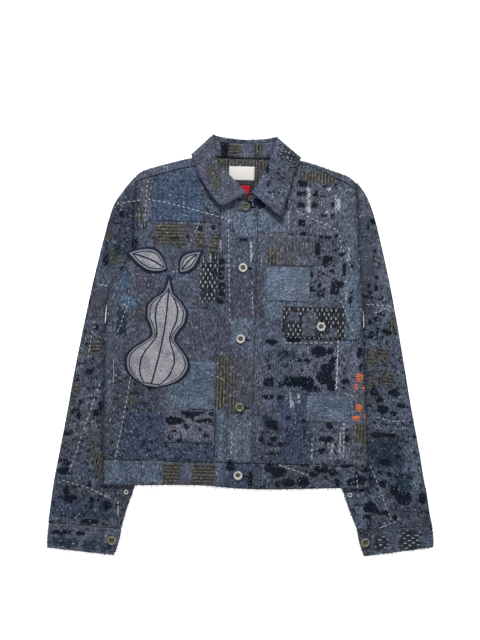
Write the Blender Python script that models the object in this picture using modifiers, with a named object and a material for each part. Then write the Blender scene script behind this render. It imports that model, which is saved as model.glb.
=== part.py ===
"""A patched boro work jacket, buttoned and laid flat on its back, at real size.

+X is the wearer's left, +Y the collar end and +Z the front of the jacket. The origin is under
the middle of the laid outline. The tables and functions below are in millimetres, measured
from a point in the placket at waist height; `cloth` moves them to the origin, in metres.
"""
import math
from collections import namedtuple

import bmesh
import bpy
from mathutils import Vector

OBJECT_NAME = "patched_boro_jacket"

# ---------------------------------------------------------------- cloth and gaps
MM = 0.001
OUTLINE_MIDDLE = Vector((10.8, -3.5, 0.0))
CLOTH = 1.8          # wall of a panel: two or three quilted layers
BAND = 2.4           # wall of a placket band, waistband or cuff, folded double
PATCH = 1.0          # wall of a patch
SEAM = 0.3           # gap between pieces at a seam
REST = 0.45          # gap under a piece that lies on a curved panel
APPLIQUE_REST = 0.3   # more under the applique, whose grid crosses the panel's

# ---------------------------------------------------------------- heights of the layers
TUCK = 4.2           # sleeve, pressed flat under the body
SLEEVE = 7.4         # sleeve, beside the body
CUFF = 8.0           # cuff
HOLLOW = 3.0         # between front and back, in the middle of the body
NECK_LIFT = 3.0      # the back panel over the collar that is folded under it
LAP = BAND + SEAM    # the left front over the right band

# ---------------------------------------------------------------- body
WAIST = -222.0                       # seam of the waistband
FRONT_BAND = (-43.0, 22.0)           # the right (under) band, from edge to edge
OVER_BAND = (-19.0, 27.0)            # the left (over) band
NECK_HALF = 82.0                     # from the middle to the neck point of the shoulder
LAP_SLOPE = (24.0, 62.0)             # where the left front comes down to its own level

Side = namedtuple("Side", "y right left")
BODY_SIDES = [Side(-270, -249.0, 250.0), Side(-110, -252.8, 238.5), Side(0, -254.0, 231.5),
              Side(72, -251.0, 229.0), Side(104, -245.4, 226.5), Side(135, -225.6, 223.5),
              Side(175, -208.0, 220.0), Side(312, -203.5, 209.5)]
# Heights of the rows of the fronts and the back up to the chest, and of the armhole's points.
BODY_LEVELS = [WAIST + SEAM, -165, -110, -55, 0, 36, 72, 104, 135, 175, 215]
ARMHOLE_LEVELS = [72, 88, 104, 120, 135, 155, 175, 215, 250, 285, 311]
Edge = namedtuple("Edge", "x y")
HEM_MIDDLE = -268.0
HEM = [Edge(-250, -269.8), Edge(-68, -265.0), Edge(-10, -268.3), Edge(38, -269.4),
       Edge(110, -267.5), Edge(202, -263.0), Edge(251, -264.0)]
RIDGE = {"right": [Edge(-206, 311), Edge(-191, 322), Edge(-165, 331), Edge(-129, 341.6),
                   Edge(-104, 347.5), Edge(-82, 350)],
         "left": [Edge(82, 351), Edge(112, 347.5), Edge(137, 341), Edge(170, 330),
                  Edge(194, 322), Edge(211, 309)]}
FRONT_TOP = {"right": [Edge(-206, 299), Edge(-193, 305), Edge(-165, 313), Edge(-122, 326),
                       Edge(-90, 332), Edge(-79, 334), Edge(-72, 321), Edge(-60, 303),
                       Edge(-43, 287)],
             "left": [Edge(27, 273), Edge(45, 283), Edge(60, 300), Edge(72, 326),
                      Edge(80, 339), Edge(112, 340), Edge(137, 332), Edge(170, 316.5),
                      Edge(187, 310), Edge(202, 302.5), Edge(212, 295)]}
NECK_SEAM_BACK = [Edge(-82, 350), Edge(-40, 349), Edge(0, 348.5), Edge(40, 349), Edge(82, 350.5)]
BAND_TOP = [Edge(-43, 287), Edge(-20, 275), Edge(4, 271.5), Edge(27, 272)]

# ---------------------------------------------------------------- sleeves
# A row for each ring of a sleeve: its inner fold, which runs under the body, and its outer one.
Ring = namedtuple("Ring", "inner_x inner_y outer_x outer_y")
SLEEVE_RINGS = {
    "right": [Ring(-251, 72, -205, 311), Ring(-252.2, 66, -224, 286), Ring(-253.3, 58, -244, 252),
              Ring(-253.9, 48, -262, 180), Ring(-253.3, 34, -279, 100), Ring(-245, 12, -292, 30),
              Ring(-216, -25, -304, -38), Ring(-186, -75, -313, -95),
              Ring(-168, -130, -321, -148), Ring(-170, -185, -330, -202),
              Ring(-182, -240, -338, -250), Ring(-190.5, -272.5, -341.5, -275),
              Ring(-202, -308, -345.5, -310), Ring(-213.5, -350.6, -348.8, -342.2)],
    "left": [Ring(229, 72, 211, 308.5), Ring(230, 66, 228, 286), Ring(230.5, 58, 243, 250),
             Ring(230, 48, 262, 180), Ring(227.5, 34, 281, 100), Ring(214, 12, 297, 22),
             Ring(190, -25, 309, -40), Ring(168, -75, 319, -92),
             Ring(158, -130, 330, -145), Ring(164, -185, 341, -196),
             Ring(182, -236, 350, -244), Ring(198.5, -266.8, 356, -268.8),
             Ring(212, -302, 362, -304), Ring(228.7, -341.2, 368, -329.8)]}
CUFF_RINGS = {
    "right": [Ring(-213, -351.1, -349.8, -342.6), Ring(-218.5, -380, -352, -372),
              Ring(-226, -400, -351.5, -389.5)],
    "left": [Ring(228.2, -341.7, 369.6, -330.2), Ring(235, -368, 373, -356),
             Ring(243, -389.8, 372.5, -369.5)]}
BOW_RINGS = 4                        # rings over which the armhole's curve straightens out
HEM_RING = 11                        # the ring just below the body's hem
ARMHOLE_GAP = 0.5
HEAD_CLEAR = 1.6                     # more at the fold of the shoulder, for the sleeve's wall
EDGE_CLEAR = 3.0                     # a ring's middle point lies this far outside the body's edge
AROUND = 20                          # points round a ring

# ---------------------------------------------------------------- collar
# A row for each section round the neck, from the wearer's right front end to the left one:
# its neck seam, its roll (with the height of the fall's outer face there, and of the stand's top
# inside it) and the fall's outer edge. Sections 8 to 10 and 14 to 16 turn it under the back.
Section = namedtuple("Section", "seam_x seam_y roll_x roll_y roll_z stand_z out_x out_y out_z")
COLLAR = [
    Section(1, 272.5, 5, 286, 17.5, 12.6, -33.4, 260.5, 14.0),
    Section(-12, 273.5, -6, 297, 18.0, 13.0, -46.6, 262, 14.0),
    Section(-32, 281, -22, 312, 18.0, 13.0, -60, 277, 12.4),
    Section(-47.5, 292.5, -38, 326, 18.0, 13.0, -73, 295, 12.2),
    Section(-61, 307, -50, 336, 18.0, 13.0, -85, 314, 12.2),
    Section(-71.5, 322.5, -54, 351, 18.0, 13.0, -92, 329, 12.4),
    Section(-79, 338, -57, 370, 18.0, 13.2, -96.5, 343, 13.2),
    Section(-79, 350, -60, 386, 16.5, 12.6, -100, 352, 12.0),
    Section(-72, 350.5, -61.5, 393.5, 11.5, 12.0, -101, 355, 5.0),
    Section(-60, 350, -53, 391, 7.0, 12.0, -88, 349, 0.3),
    Section(-40, 350, -36, 388, 6.0, 11.4, -55, 337, 0.0),
    Section(0, 349, 0, 385.5, 6.0, 11.0, 0, 333, 0.0),
    Section(40, 350, 36, 388, 6.0, 11.4, 55, 337, 0.0),
    Section(60, 350, 51, 390.5, 7.0, 12.0, 90, 349, 0.3),
    Section(72, 350.5, 59.5, 391.5, 11.5, 12.0, 104, 355, 5.0),
    Section(79, 350, 57, 382, 16.5, 12.6, 104, 352, 12.0),
    Section(75, 338, 51, 361, 18.0, 13.2, 99, 338, 13.2),
    Section(70, 324, 43, 341, 18.0, 13.0, 92, 318, 12.4),
    Section(62, 308, 35, 322, 18.0, 13.0, 87, 300, 12.2),
    Section(53, 295, 27, 306, 18.0, 13.0, 80, 276, 12.4),
    Section(38, 280, 20, 294, 18.0, 13.0, 74, 254, 13.0),
    Section(16, 272.5, 15, 286, 17.5, 12.6, 70.6, 239.4, 14.0)]
COLLAR_WALL = 2.0
STAND_REACH = (0.05, 0.76)           # the stand's edges, in shares from neck seam to roll
STAND_ON_BACK = (326.0, 338.0)       # the stand passes from the fronts to the back here
FALL_CROWN = 1.4                     # the fall's middle stands proud of its edges
FOLDED_UNDER = (9.0, 17.0)           # heights of the roll, from under the back to over the front

# ---------------------------------------------------------------- what lies on the panels
FLAP = {"x": (79.0, 226.0), "y": (15.0, 75.0), "corner": 13.0, "wall": 2.0}
BUTTONS = {"button_neck": (3.6, 259.5), "button_chest": (1.7, 144.9), "button_middle": (0.8, 11.3),
           "button_low": (2.2, -116.5), "button_waist": (2.8, -244.5)}
BUTTON = {"radius": 8.5, "height": 4.2}
SMALL_BUTTON = {"radius": 4.5, "height": 2.6}
FLAP_BUTTON = (150.9, 38.3)
CUFF_BUTTONS = {"right": (-230.6, -373.0), "left": (244.9, -363.9)}
SLIT_BUTTON = {"around": 2, "ring": HEM_RING, "share": 0.25}   # on the sleeve's placket strip

FrontPatch = namedtuple("FrontPatch", "name hand left right low high slot")
FRONT_PATCHES = [
    FrontPatch("patch_shoulder_right", "right", -163, -75, 229, 300, "light_indigo_cloth"),
    FrontPatch("patch_breast_right", "right", -88, -46, 182, 226, "olive_stripe_cloth"),
    FrontPatch("patch_dotted_right", "right", -63, -46, 84, 172, "dotted_navy_cloth"),
    FrontPatch("patch_middle_right", "right", -92, -46, -123, -34, "light_indigo_cloth"),
    FrontPatch("patch_brushed_right", "right", -136, -46, -186, -127, "brushed_grey_cloth"),
    FrontPatch("patch_breast_left", "left", 50, 134, 151, 208, "grey_brown_cloth"),
    FrontPatch("patch_middle_left", "left", 47, 128, 84, 147, "light_indigo_cloth"),
    FrontPatch("patch_low_left", "left", 128, 208, -140, -92, "light_indigo_cloth"),
    FrontPatch("patch_side_left", "left", 206, 228, -190, -148, "olive_stripe_cloth")]
SleevePatch = namedtuple("SleevePatch", "name hand around rings slot")
SLEEVE_PATCHES = [
    SleevePatch("patch_sleeve_left_upper", "left", (6, 9), (6, 8), "olive_stripe_cloth"),
    SleevePatch("patch_sleeve_left_lower", "left", (6, 9), (10, 12), "teal_navy_cloth"),
    SleevePatch("patch_sleeve_right", "right", (6, 8), (9, 11), "olive_stripe_cloth"),
    SleevePatch("sleeve_placket_left", "left", (1, 3), (11, 13), "slate_cloth"),
    SleevePatch("sleeve_placket_right", "right", (1, 3), (11, 13), "slate_cloth")]
PATCH_CELL = (18.0, 20.0)            # size of a patch's faces, across and up
LABEL_REST = 0.65                    # gap under a label, over the back's coarser grid
LABELS = {"label_main": ((-29.5, 18.5), (309.0, 335.0)), "label_lower": ((-20.0, 18.0), (283.0, 306.5))}

# The appliqué is a gourd and two leaves, each cut whole: a midrib from foot to tip, and half
# widths at equal steps along it.
Motif = namedtuple("Motif", "name foot tip bend widths")
APPLIQUE = [
    Motif("applique_gourd", (-166, -84), (-136, 128), 8.0,
          (8, 44, 58, 62, 55, 38, 25, 31, 40, 41, 31, 13, 7, 4)),
    Motif("applique_leaf_upper", (-140, 138), (-217, 168), 5.0,
          (2, 14, 21, 24, 22, 17, 10, 2)),
    Motif("applique_leaf_lower", (-117, 132), (-74, 176), -4.0,
          (2, 11, 16, 18, 16, 12, 7, 2))]

COLOURS = {
    "slate_cloth": (0.066, 0.075, 0.105), "light_indigo_cloth": (0.10, 0.15, 0.24),
    "olive_stripe_cloth": (0.085, 0.082, 0.07), "dotted_navy_cloth": (0.03, 0.035, 0.055),
    "brushed_grey_cloth": (0.075, 0.075, 0.09), "grey_brown_cloth": (0.09, 0.085, 0.095),
    "teal_navy_cloth": (0.02, 0.04, 0.07), "applique_cloth": (0.33, 0.33, 0.36),
    "label_cream": (0.72, 0.68, 0.62), "label_dark": (0.02, 0.02, 0.03),
    "off_white_button": (0.72, 0.70, 0.62), "dull_brass_button": (0.32, 0.29, 0.20)}
BUTTON_SLOTS = {"button_neck": "dull_brass_button", "button_low": "dull_brass_button"}


# ---------------------------------------------------------------- reading the tables
def ease(t):
    """0 below 0, 1 above 1 and a smooth step between."""
    t = min(1.0, max(0.0, t))
    return t * t * (3.0 - 2.0 * t)


def between(span, at):
    """`ease` across a span: 0 before it and 1 after it."""
    return ease((at - span[0]) / (span[1] - span[0]))


def mix(a, b, t):
    return a + (b - a) * t


def read(rows, at, key, column):
    """A column's value where the key column is `at`, on straight lines between the rows."""
    rows = sorted(rows, key=lambda row: getattr(row, key))
    at = min(max(at, getattr(rows[0], key)), getattr(rows[-1], key))
    for low, high in zip(rows, rows[1:]):
        start, end = getattr(low, key), getattr(high, key)
        if at <= end:
            return mix(getattr(low, column), getattr(high, column), (at - start) / (end - start))


def side(y, hand):
    """x of the body's side edge, and above the underarm of its armhole."""
    return read(BODY_SIDES, y, "y", hand)


def hem(x):
    return read(HEM, x, "x", "y")


def hand_of(x):
    return "left" if x > 0 else "right"


# ---------------------------------------------------------------- heights
TUCK_EASE = 40.0             # breadth of the slope up on to the sleeve under the body
TUCK_SHELF = 34.0            # the body is level from here inside the sleeve's inner fold
TUCK_TOP = (80.0, 125.0)     # where the slope ends, below the armhole
HOLLOW_EASE = 70.0           # from the side edge to the full hollow
CHEST_HOLLOW = (210.0, 300.0)    # between these the hollow thins towards the shoulder
SHOULDER_HOLLOW = 0.35       # share of the hollow left at the shoulder
TUCK_HOLLOW = 0.3            # share of the hollow left over a tucked sleeve
NECK_RISE = (290.0, 328.0)   # where the back rises on to the collar folded under it
NECK_SIDE = (108.0, 132.0)   # where it comes down again beside the neck
BESIDE = (8.0, 42.0)         # a sleeve grows from pressed to full as it leaves the body
ARM_SLOPE = 50.0             # from the armhole to the sleeve's own height
UNDERARM = (62.0, 122.0)     # a sleeve hangs from the seam above, and is tucked below


def tuck_share(x, y):
    """1 where the body lies on the sleeve's hidden stretch, 0 where it lies on the floor."""
    fold = abs(read(SLEEVE_RINGS[hand_of(x)], y, "inner_y", "inner_x"))
    return ease((abs(x) - fold + TUCK_EASE + TUCK_SHELF) / TUCK_EASE) * (1.0 - between(TUCK_TOP, y))


def back_low(x, y):
    """Underside of the back panel."""
    neck = between(NECK_RISE, y) * (1.0 - between(NECK_SIDE, abs(x)))
    return (TUCK + SEAM) * tuck_share(x, y) + NECK_LIFT * neck


def front_low(x, y):
    """Underside of a front, over the back and the hollow between them."""
    inward = abs(side(y, hand_of(x))) - abs(x)
    hollow = HOLLOW * ease(inward / HOLLOW_EASE) * mix(1.0, SHOULDER_HOLLOW, between(CHEST_HOLLOW, y))
    hollow *= mix(1.0, TUCK_HOLLOW, tuck_share(x, y))
    return back_low(x, y) + BAND + SEAM + hollow


def lap(x):
    """Rise of the left front's pieces, which lie on the right band at the placket."""
    return LAP * (1.0 - between(LAP_SLOPE, x))


def sleeve_top(x, y, hand):
    """Top of a sleeve's front layer: pressed flat under the body, fuller beside it."""
    beside = abs(x) - abs(side(y, hand))
    outside = max(beside, hem(x) - y)
    tucked = mix(TUCK, SLEEVE, between(BESIDE, outside))
    seam_top = front_low(side(y, hand), y) + CLOTH
    hung = mix(seam_top, SLEEVE, ease(beside / ARM_SLOPE))
    return mix(tucked, hung, between(UNDERARM, y))


# ---------------------------------------------------------------- making a piece
def make_material(name):
    material = bpy.data.materials.new(name)
    material.use_nodes = True
    shader = material.node_tree.nodes["Principled BSDF"]
    shader.inputs["Base Color"].default_value = (*COLOURS[name], 1.0)
    brass = name == "dull_brass_button"
    shader.inputs["Roughness"].default_value = 0.35 if name.endswith("button") else 0.9
    shader.inputs["Metallic"].default_value = 0.7 if brass else 0.0
    return material


def add_piece(name, mesh, slot):
    """An object in the jacket's collection, with the slot's material."""
    piece = bpy.data.objects.new(name, mesh)
    if slot not in materials:
        materials[slot] = make_material(slot)
    mesh.materials.append(materials[slot])
    parts.objects.link(piece)
    return piece


def cloth(name, columns, rows, point, wall, slot, up=(0.5, 0.5), wall_side=1.0, cut=None,
          weld=False, even=True):
    """A cloth piece: a grid laid at point(u, v), with a wall.

    The face nearest `up` looks upwards. The wall lies above it for a wall_side of 1, below it
    for -1 and halfway for 0. `cut` says which faces are left out, `weld` joins the grid's first
    column to its last, and `even` keeps the wall's full thickness in sharp folds.
    """
    grid = bmesh.new()
    bmesh.ops.create_grid(grid, x_segments=columns, y_segments=rows, size=0.5)
    where = {v: (v.co.x + 0.5, v.co.y + 0.5) for v in grid.verts}
    middles = {f: [sum(where[v][i] for v in f.verts) / 4.0 for i in (0, 1)] for f in grid.faces}
    nearest = min(grid.faces, key=lambda f: math.dist(middles[f], up))
    for vert, (u, v) in where.items():
        vert.co = (Vector(point(u, v)) - OUTLINE_MIDDLE) * MM
    nearest.normal_update()
    if nearest.normal.z < 0.0:
        bmesh.ops.reverse_faces(grid, faces=grid.faces[:])
    if cut:
        left_out = [f for f in grid.faces if cut(*middles[f])]
        bmesh.ops.delete(grid, geom=left_out, context="FACES")
    if weld:
        bmesh.ops.remove_doubles(grid, verts=grid.verts[:], dist=0.02 * MM)
    mesh = bpy.data.meshes.new(name)
    grid.to_mesh(mesh)
    grid.free()
    mesh.shade_smooth()
    piece = add_piece(name, mesh, slot)
    solidify = piece.modifiers.new("wall", "SOLIDIFY")
    solidify.thickness = wall * MM
    solidify.offset = wall_side
    solidify.use_even_offset = even
    return piece


# ---------------------------------------------------------------- fronts, bands, waistband
FRONT_COLUMNS = 10
TOP_ROWS = 3                         # rows of a front from the chest to its top edge
FRONT_ROWS = len(BODY_LEVELS) - 1 + TOP_ROWS
CHEST = BODY_LEVELS[-1]


def front_inner(hand):
    return OVER_BAND[1] + SEAM if hand == "left" else FRONT_BAND[0] - SEAM


def front_grid(column, row, hand):
    """Underside of a front at a grid point: columns go outwards and rows upwards."""
    inner, u = front_inner(hand), column / FRONT_COLUMNS
    if row < len(BODY_LEVELS):
        y = BODY_LEVELS[row]
        x = mix(inner, side(y, hand), u)
    else:
        x = mix(inner, side(CHEST, hand), u)
        for _ in range(3):
            top = read(FRONT_TOP[hand], x, "x", "y")
            y = mix(CHEST, top, (row - len(BODY_LEVELS) + 1) / TOP_ROWS)
            x = mix(inner, side(y, hand), u)
    return x, y, front_low(x, y) + (lap(x) if hand == "left" else 0.0)


def on_front(x, y, hand):
    """Top of a front's wall at a plan point, on the straight facets of its grid."""
    inner = front_inner(hand)
    across = FRONT_COLUMNS * (x - inner) / (side(y, hand) - inner)
    if y < CHEST:
        row = sum(1 for level in BODY_LEVELS if level <= y) - 1
        along = (y - BODY_LEVELS[row]) / (BODY_LEVELS[row + 1] - BODY_LEVELS[row])
    else:
        share = TOP_ROWS * (y - CHEST) / (read(FRONT_TOP[hand], x, "x", "y") - CHEST)
        row = len(BODY_LEVELS) - 1 + min(TOP_ROWS - 1, int(share))
        along = share - min(TOP_ROWS - 1, int(share))
    column = min(FRONT_COLUMNS - 1, max(0, int(across)))
    z = [mix(front_grid(column, r, hand)[2], front_grid(column + 1, r, hand)[2], across - column)
         for r in (row, row + 1)]
    return mix(*z, along) + CLOTH


def make_fronts():
    for hand in ("right", "left"):
        cloth(f"front_{hand}", FRONT_COLUMNS, FRONT_ROWS,
              lambda u, v: front_grid(round(u * FRONT_COLUMNS), round(v * FRONT_ROWS), hand),
              CLOTH, "slate_cloth")


def make_bands():
    """The two placket bands: the left one lies on the right one."""
    for hand, (start, end) in (("right", FRONT_BAND), ("left", OVER_BAND)):
        def point(u, v):
            x = mix(start, end, u)
            y = mix(WAIST + SEAM, read(BAND_TOP, x, "x", "y"), v)
            return x, y, front_low(x, y) + (LAP if hand == "left" else 0.0)
        cloth(f"band_{hand}", 3, 12, point, BAND, "slate_cloth")


def make_waistband():
    reach = {"right": FRONT_BAND[1], "left": OVER_BAND[0]}
    for hand, end in reach.items():
        def point(u, v):
            x = mix(side(mix(HEM_MIDDLE, WAIST, v), hand), end, u)
            y = mix(hem(x), WAIST - SEAM, v)
            return x, y, front_low(x, y) + (lap(x) if hand == "left" else 0.0)
        cloth(f"waistband_{hand}", 14, 2, point, BAND, "slate_cloth")

    def under(u, v):
        level = mix(HEM_MIDDLE, WAIST, v)
        x = mix(side(level, "right"), side(level, "left"), u)
        y = mix(hem(x), WAIST - SEAM, v)
        return x, y, back_low(x, y)
    cloth("waistband_back", 20, 2, under, BAND, "slate_cloth")


# ---------------------------------------------------------------- back
BACK_COLUMNS = 20
NECK_U = 0.4                         # share of the half width that the neck takes
BACK_TOP_ROWS = 3                    # rows from the chest to the shoulder's fold
RIDGE_LEVEL = 300.0                  # the columns run straight up from here, over the shoulder
BACK_ROWS = {"rise": len(BODY_LEVELS) - 1 + BACK_TOP_ROWS, "fold": 4, "over": 1}
SHOULDER_GAP = 1.1                   # between the back and a front at the shoulder seam


def back_x(across, y):
    """x at a share across the back, -1 at the right side edge and 1 at the left one."""
    half = abs(across)
    sign = 1.0 if across > 0 else -1.0
    if half <= NECK_U:
        return sign * NECK_HALF * half / NECK_U
    edge = abs(side(y, "left" if across > 0 else "right"))
    return sign * mix(NECK_HALF, edge, (half - NECK_U) / (1.0 - NECK_U))


def back_point(u, v):
    """The back's outer side: up the floor, round the shoulder and over to the front's seam."""
    across = 2.0 * u - 1.0
    hand = hand_of(across)
    row = round(v * sum(BACK_ROWS.values()))
    in_neck = abs(across) < NECK_U - 0.01
    ridge_x = back_x(across, RIDGE_LEVEL)
    ridge = read(RIDGE[hand], ridge_x, "x", "y")
    seam_y = read(FRONT_TOP[hand], ridge_x, "x", "y") + SHOULDER_GAP
    seam_top = front_low(ridge_x, seam_y) + CLOTH
    low = back_low(ridge_x, ridge)
    radius = (seam_top - low) / 2.0
    start = read(NECK_SEAM_BACK, ridge_x, "x", "y") if in_neck else ridge - radius
    if row < len(BODY_LEVELS):
        y = BODY_LEVELS[row]
        x = back_x(across, y)
        return x, y, back_low(x, y)
    if row <= BACK_ROWS["rise"]:
        y = mix(CHEST, start, (row - len(BODY_LEVELS) + 1) / BACK_TOP_ROWS)
        x = back_x(across, y)
        return x, y, back_low(x, y)
    turn = (row - BACK_ROWS["rise"]) / BACK_ROWS["fold"]
    if turn <= 1.0:
        angle = math.pi * turn
        return (ridge_x, ridge - radius * (1.0 - math.sin(angle)),
                low + radius * (1.0 - math.cos(angle)))
    y = mix(ridge - radius, seam_y, (turn - 1.0) * BACK_ROWS["fold"] / BACK_ROWS["over"])
    x = back_x(across, y)
    return x, y, seam_top


def make_back():
    rise = BACK_ROWS["rise"] / sum(BACK_ROWS.values())
    cloth("back", BACK_COLUMNS, sum(BACK_ROWS.values()), back_point, CLOTH, "slate_cloth",
          up=(0.9, 0.97), wall_side=-1.0,
          cut=lambda u, v: abs(2.0 * u - 1.0) < NECK_U and v > rise)


# ---------------------------------------------------------------- sleeves and cuffs
def ring_point(rings, around, index, hand, top_of):
    """Outer side of a flattened tube: out over its front layer and back under it."""
    ring = rings[index]
    share = (1.0 - math.cos(2.0 * math.pi * around / AROUND)) / 2.0
    inner, outer = Vector((ring.inner_x, ring.inner_y)), Vector((ring.outer_x, ring.outer_y))
    if rings is SLEEVE_RINGS[hand]:
        body = abs(side(ring.inner_y, hand)) + EDGE_CLEAR
        edge = (body - abs(inner.x)) / (abs(outer.x) - abs(inner.x))
        if BOW_RINGS < index <= HEM_RING:
            share = share * 2.0 * edge if share < 0.5 else mix(edge, 1.0, 2.0 * share - 1.0)
        place = inner.lerp(outer, share)
        arm_y = ARMHOLE_LEVELS[min(around, AROUND - around)]
        arm = Vector((side(arm_y, hand), arm_y))
        straight = Vector((rings[0].inner_x, rings[0].inner_y)).lerp(
            Vector((rings[0].outer_x, rings[0].outer_y)), share)
        place += (arm - straight) * max(0.0, 1.0 - index / BOW_RINGS) ** 2
        gap = ARMHOLE_GAP + HEAD_CLEAR * share ** 4
        place.x += gap if hand == "left" else -gap
    else:
        place = inner.lerp(outer, share)
    top = top_of(place.x, place.y)
    from_fold = min(share, 1.0 - share) * (outer - inner).length
    inset = max(0.0, 1.0 - from_fold / (top / 2.0))
    height = math.sqrt(1.0 - inset * inset)
    if around > AROUND / 2:
        height = -height
    return place.x, place.y, top / 2.0 * (1.0 + height)


def sleeve_point(around, index, hand):
    return ring_point(SLEEVE_RINGS[hand], around, index, hand, lambda x, y: sleeve_top(x, y, hand))


def make_sleeves():
    for hand in ("right", "left"):
        steps = len(SLEEVE_RINGS[hand]) - 1
        cloth(f"sleeve_{hand}", AROUND, steps,
              lambda u, v: sleeve_point(round(u * AROUND), round(v * steps), hand),
              CLOTH, "slate_cloth", up=(0.25, 0.8), wall_side=-1.0, weld=True, even=False)
        cuff = CUFF_RINGS[hand]
        cuff_steps = len(cuff) - 1
        cloth(f"cuff_{hand}", AROUND, cuff_steps,
              lambda u, v: ring_point(cuff, round(u * AROUND), round(v * cuff_steps), hand,
                                      lambda x, y: CUFF),
              BAND, "slate_cloth", up=(0.25, 0.5), wall_side=-1.0, weld=True)


# ---------------------------------------------------------------- collar
def collar_row(u):
    """The collar's section at a share of the way round the neck."""
    place = u * (len(COLLAR) - 1)
    index = min(int(place), len(COLLAR) - 2)
    return Section(*(mix(a, b, place - index) for a, b in zip(COLLAR[index], COLLAR[index + 1])))


def is_over(row):
    """1 at the front, where the fall lies on the stand, and 0 at the back."""
    return between(FOLDED_UNDER, row.roll_z)


def fall_point(u, v):
    row = collar_row(u)
    crown = FALL_CROWN * math.sin(math.pi * v) * is_over(row)
    return (mix(row.roll_x, row.out_x, v), mix(row.roll_y, row.out_y, v),
            mix(row.out_z, row.roll_z, mix((1.0 - v) ** 3, 1.0 - v, is_over(row))) + crown)


def stand_point(u, v):
    row = collar_row(u)
    half = COLLAR_WALL / 2.0
    on_back = NECK_LIFT + CLOTH + SEAM
    seam_z = mix(front_low(row.seam_x, row.seam_y), on_back, between(STAND_ON_BACK, row.seam_y))
    reach = mix(*STAND_REACH, v)
    return (mix(row.seam_x, row.roll_x, reach), mix(row.seam_y, row.roll_y, reach),
            mix(seam_z + half, row.stand_z - half, v))


def make_collar():
    sections = len(COLLAR) - 1
    cloth("collar", 2 * sections, 4, fall_point, COLLAR_WALL, "slate_cloth", up=(0.1, 0.5),
          wall_side=-1.0, even=False)
    cloth("collar_stand", sections, 2, stand_point, COLLAR_WALL, "slate_cloth", wall_side=0.0)


# ---------------------------------------------------------------- laid on the panels
def level_at(x, y, hand):
    """Top of what a front's patch would lie on."""
    return on_front(x, y, hand) + REST


def make_patches():
    for patch in FRONT_PATCHES:
        def point(u, v):
            x, y = mix(patch.left, patch.right, u), mix(patch.low, patch.high, v)
            return x, y, level_at(x, y, patch.hand)
        columns = max(2, round((patch.right - patch.left) / PATCH_CELL[0]))
        rows = max(2, round((patch.high - patch.low) / PATCH_CELL[1]))
        cloth(patch.name, columns, rows, point, PATCH, patch.slot)
    for patch in SLEEVE_PATCHES:
        columns = patch.around[1] - patch.around[0]
        rows = patch.rings[1] - patch.rings[0]

        def on_sleeve(u, v):
            x, y, z = sleeve_point(patch.around[0] + round(u * columns),
                                   patch.rings[0] + round(v * rows), patch.hand)
            return x, y, z + REST
        cloth(patch.name, columns, rows, on_sleeve, PATCH, patch.slot)


def make_applique():
    for motif in APPLIQUE:
        foot, tip = Vector(motif.foot), Vector(motif.tip)
        along = tip - foot
        across = Vector((along.y, -along.x)).normalized()
        steps = len(motif.widths) - 1

        def point(u, v):
            half = motif.widths[round(v * steps)]
            rib = foot + along * v + across * motif.bend * math.sin(math.pi * v)
            place = rib + across * half * (2.0 * u - 1.0)
            return place.x, place.y, level_at(place.x, place.y, "right") + APPLIQUE_REST
        columns = 8 if motif.name == "applique_gourd" else 4
        cloth(motif.name, columns, steps, point, PATCH, "applique_cloth")


def make_labels():
    for name, ((left, right), (low, high)) in LABELS.items():
        def point(u, v):
            x, y = mix(left, right, u), mix(low, high, v)
            return x, y, back_low(x, y) + CLOTH + LABEL_REST
        cloth(name, 3, 2, point, PATCH, "label_cream" if name == "label_main" else "label_dark")


def flap_point(u, v):
    """The pocket flap, its lower corners rounded off."""
    (left, right), (low, high), corner = FLAP["x"], FLAP["y"], FLAP["corner"]
    x = mix(left, right, u)
    inset = max(0.0, corner - min(x - left, right - x)) / corner
    y = mix(low + corner * (1.0 - math.sqrt(max(0.0, 1.0 - inset * inset))), high, v)
    return x, y, level_at(x, y, "left")


def make_flap():
    cloth("pocket_flap", 11, 4, flap_point, FLAP["wall"], "dotted_navy_cloth")


# ---------------------------------------------------------------- buttons
# A button's half section, from the middle of its top to the middle of its foot, in shares of
# its radius and height: a stud, a well round it, the ring and the flat foot.
ButtonPoint = namedtuple("ButtonPoint", "radius height")
BUTTON_PROFILE = [ButtonPoint(0, 0.62), ButtonPoint(0.2, 0.58), ButtonPoint(0.28, 0.3),
                  ButtonPoint(0.42, 0.34), ButtonPoint(0.55, 0.82), ButtonPoint(0.74, 1.0),
                  ButtonPoint(0.92, 0.78), ButtonPoint(1.0, 0.4), ButtonPoint(0.92, 0),
                  ButtonPoint(0, 0)]
BUTTON_SIDES = 16


def make_button(name, x, y, z, size, slot):
    """A ring button, turned from its profile."""
    outline = bmesh.new()
    verts = [outline.verts.new((p.radius * size["radius"] * MM, 0, p.height * size["height"] * MM))
             for p in BUTTON_PROFILE]
    for pair in zip(verts, verts[1:]):
        outline.edges.new(pair)
    mesh = bpy.data.meshes.new(name)
    outline.to_mesh(mesh)
    outline.free()
    piece = add_piece(name, mesh, slot)
    piece.location = (Vector((x, y, z)) - OUTLINE_MIDDLE) * MM
    turn = piece.modifiers.new("turn", "SCREW")
    turn.steps = turn.render_steps = BUTTON_SIDES
    turn.use_merge_vertices = True
    turn.merge_threshold = 0.00005


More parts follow.
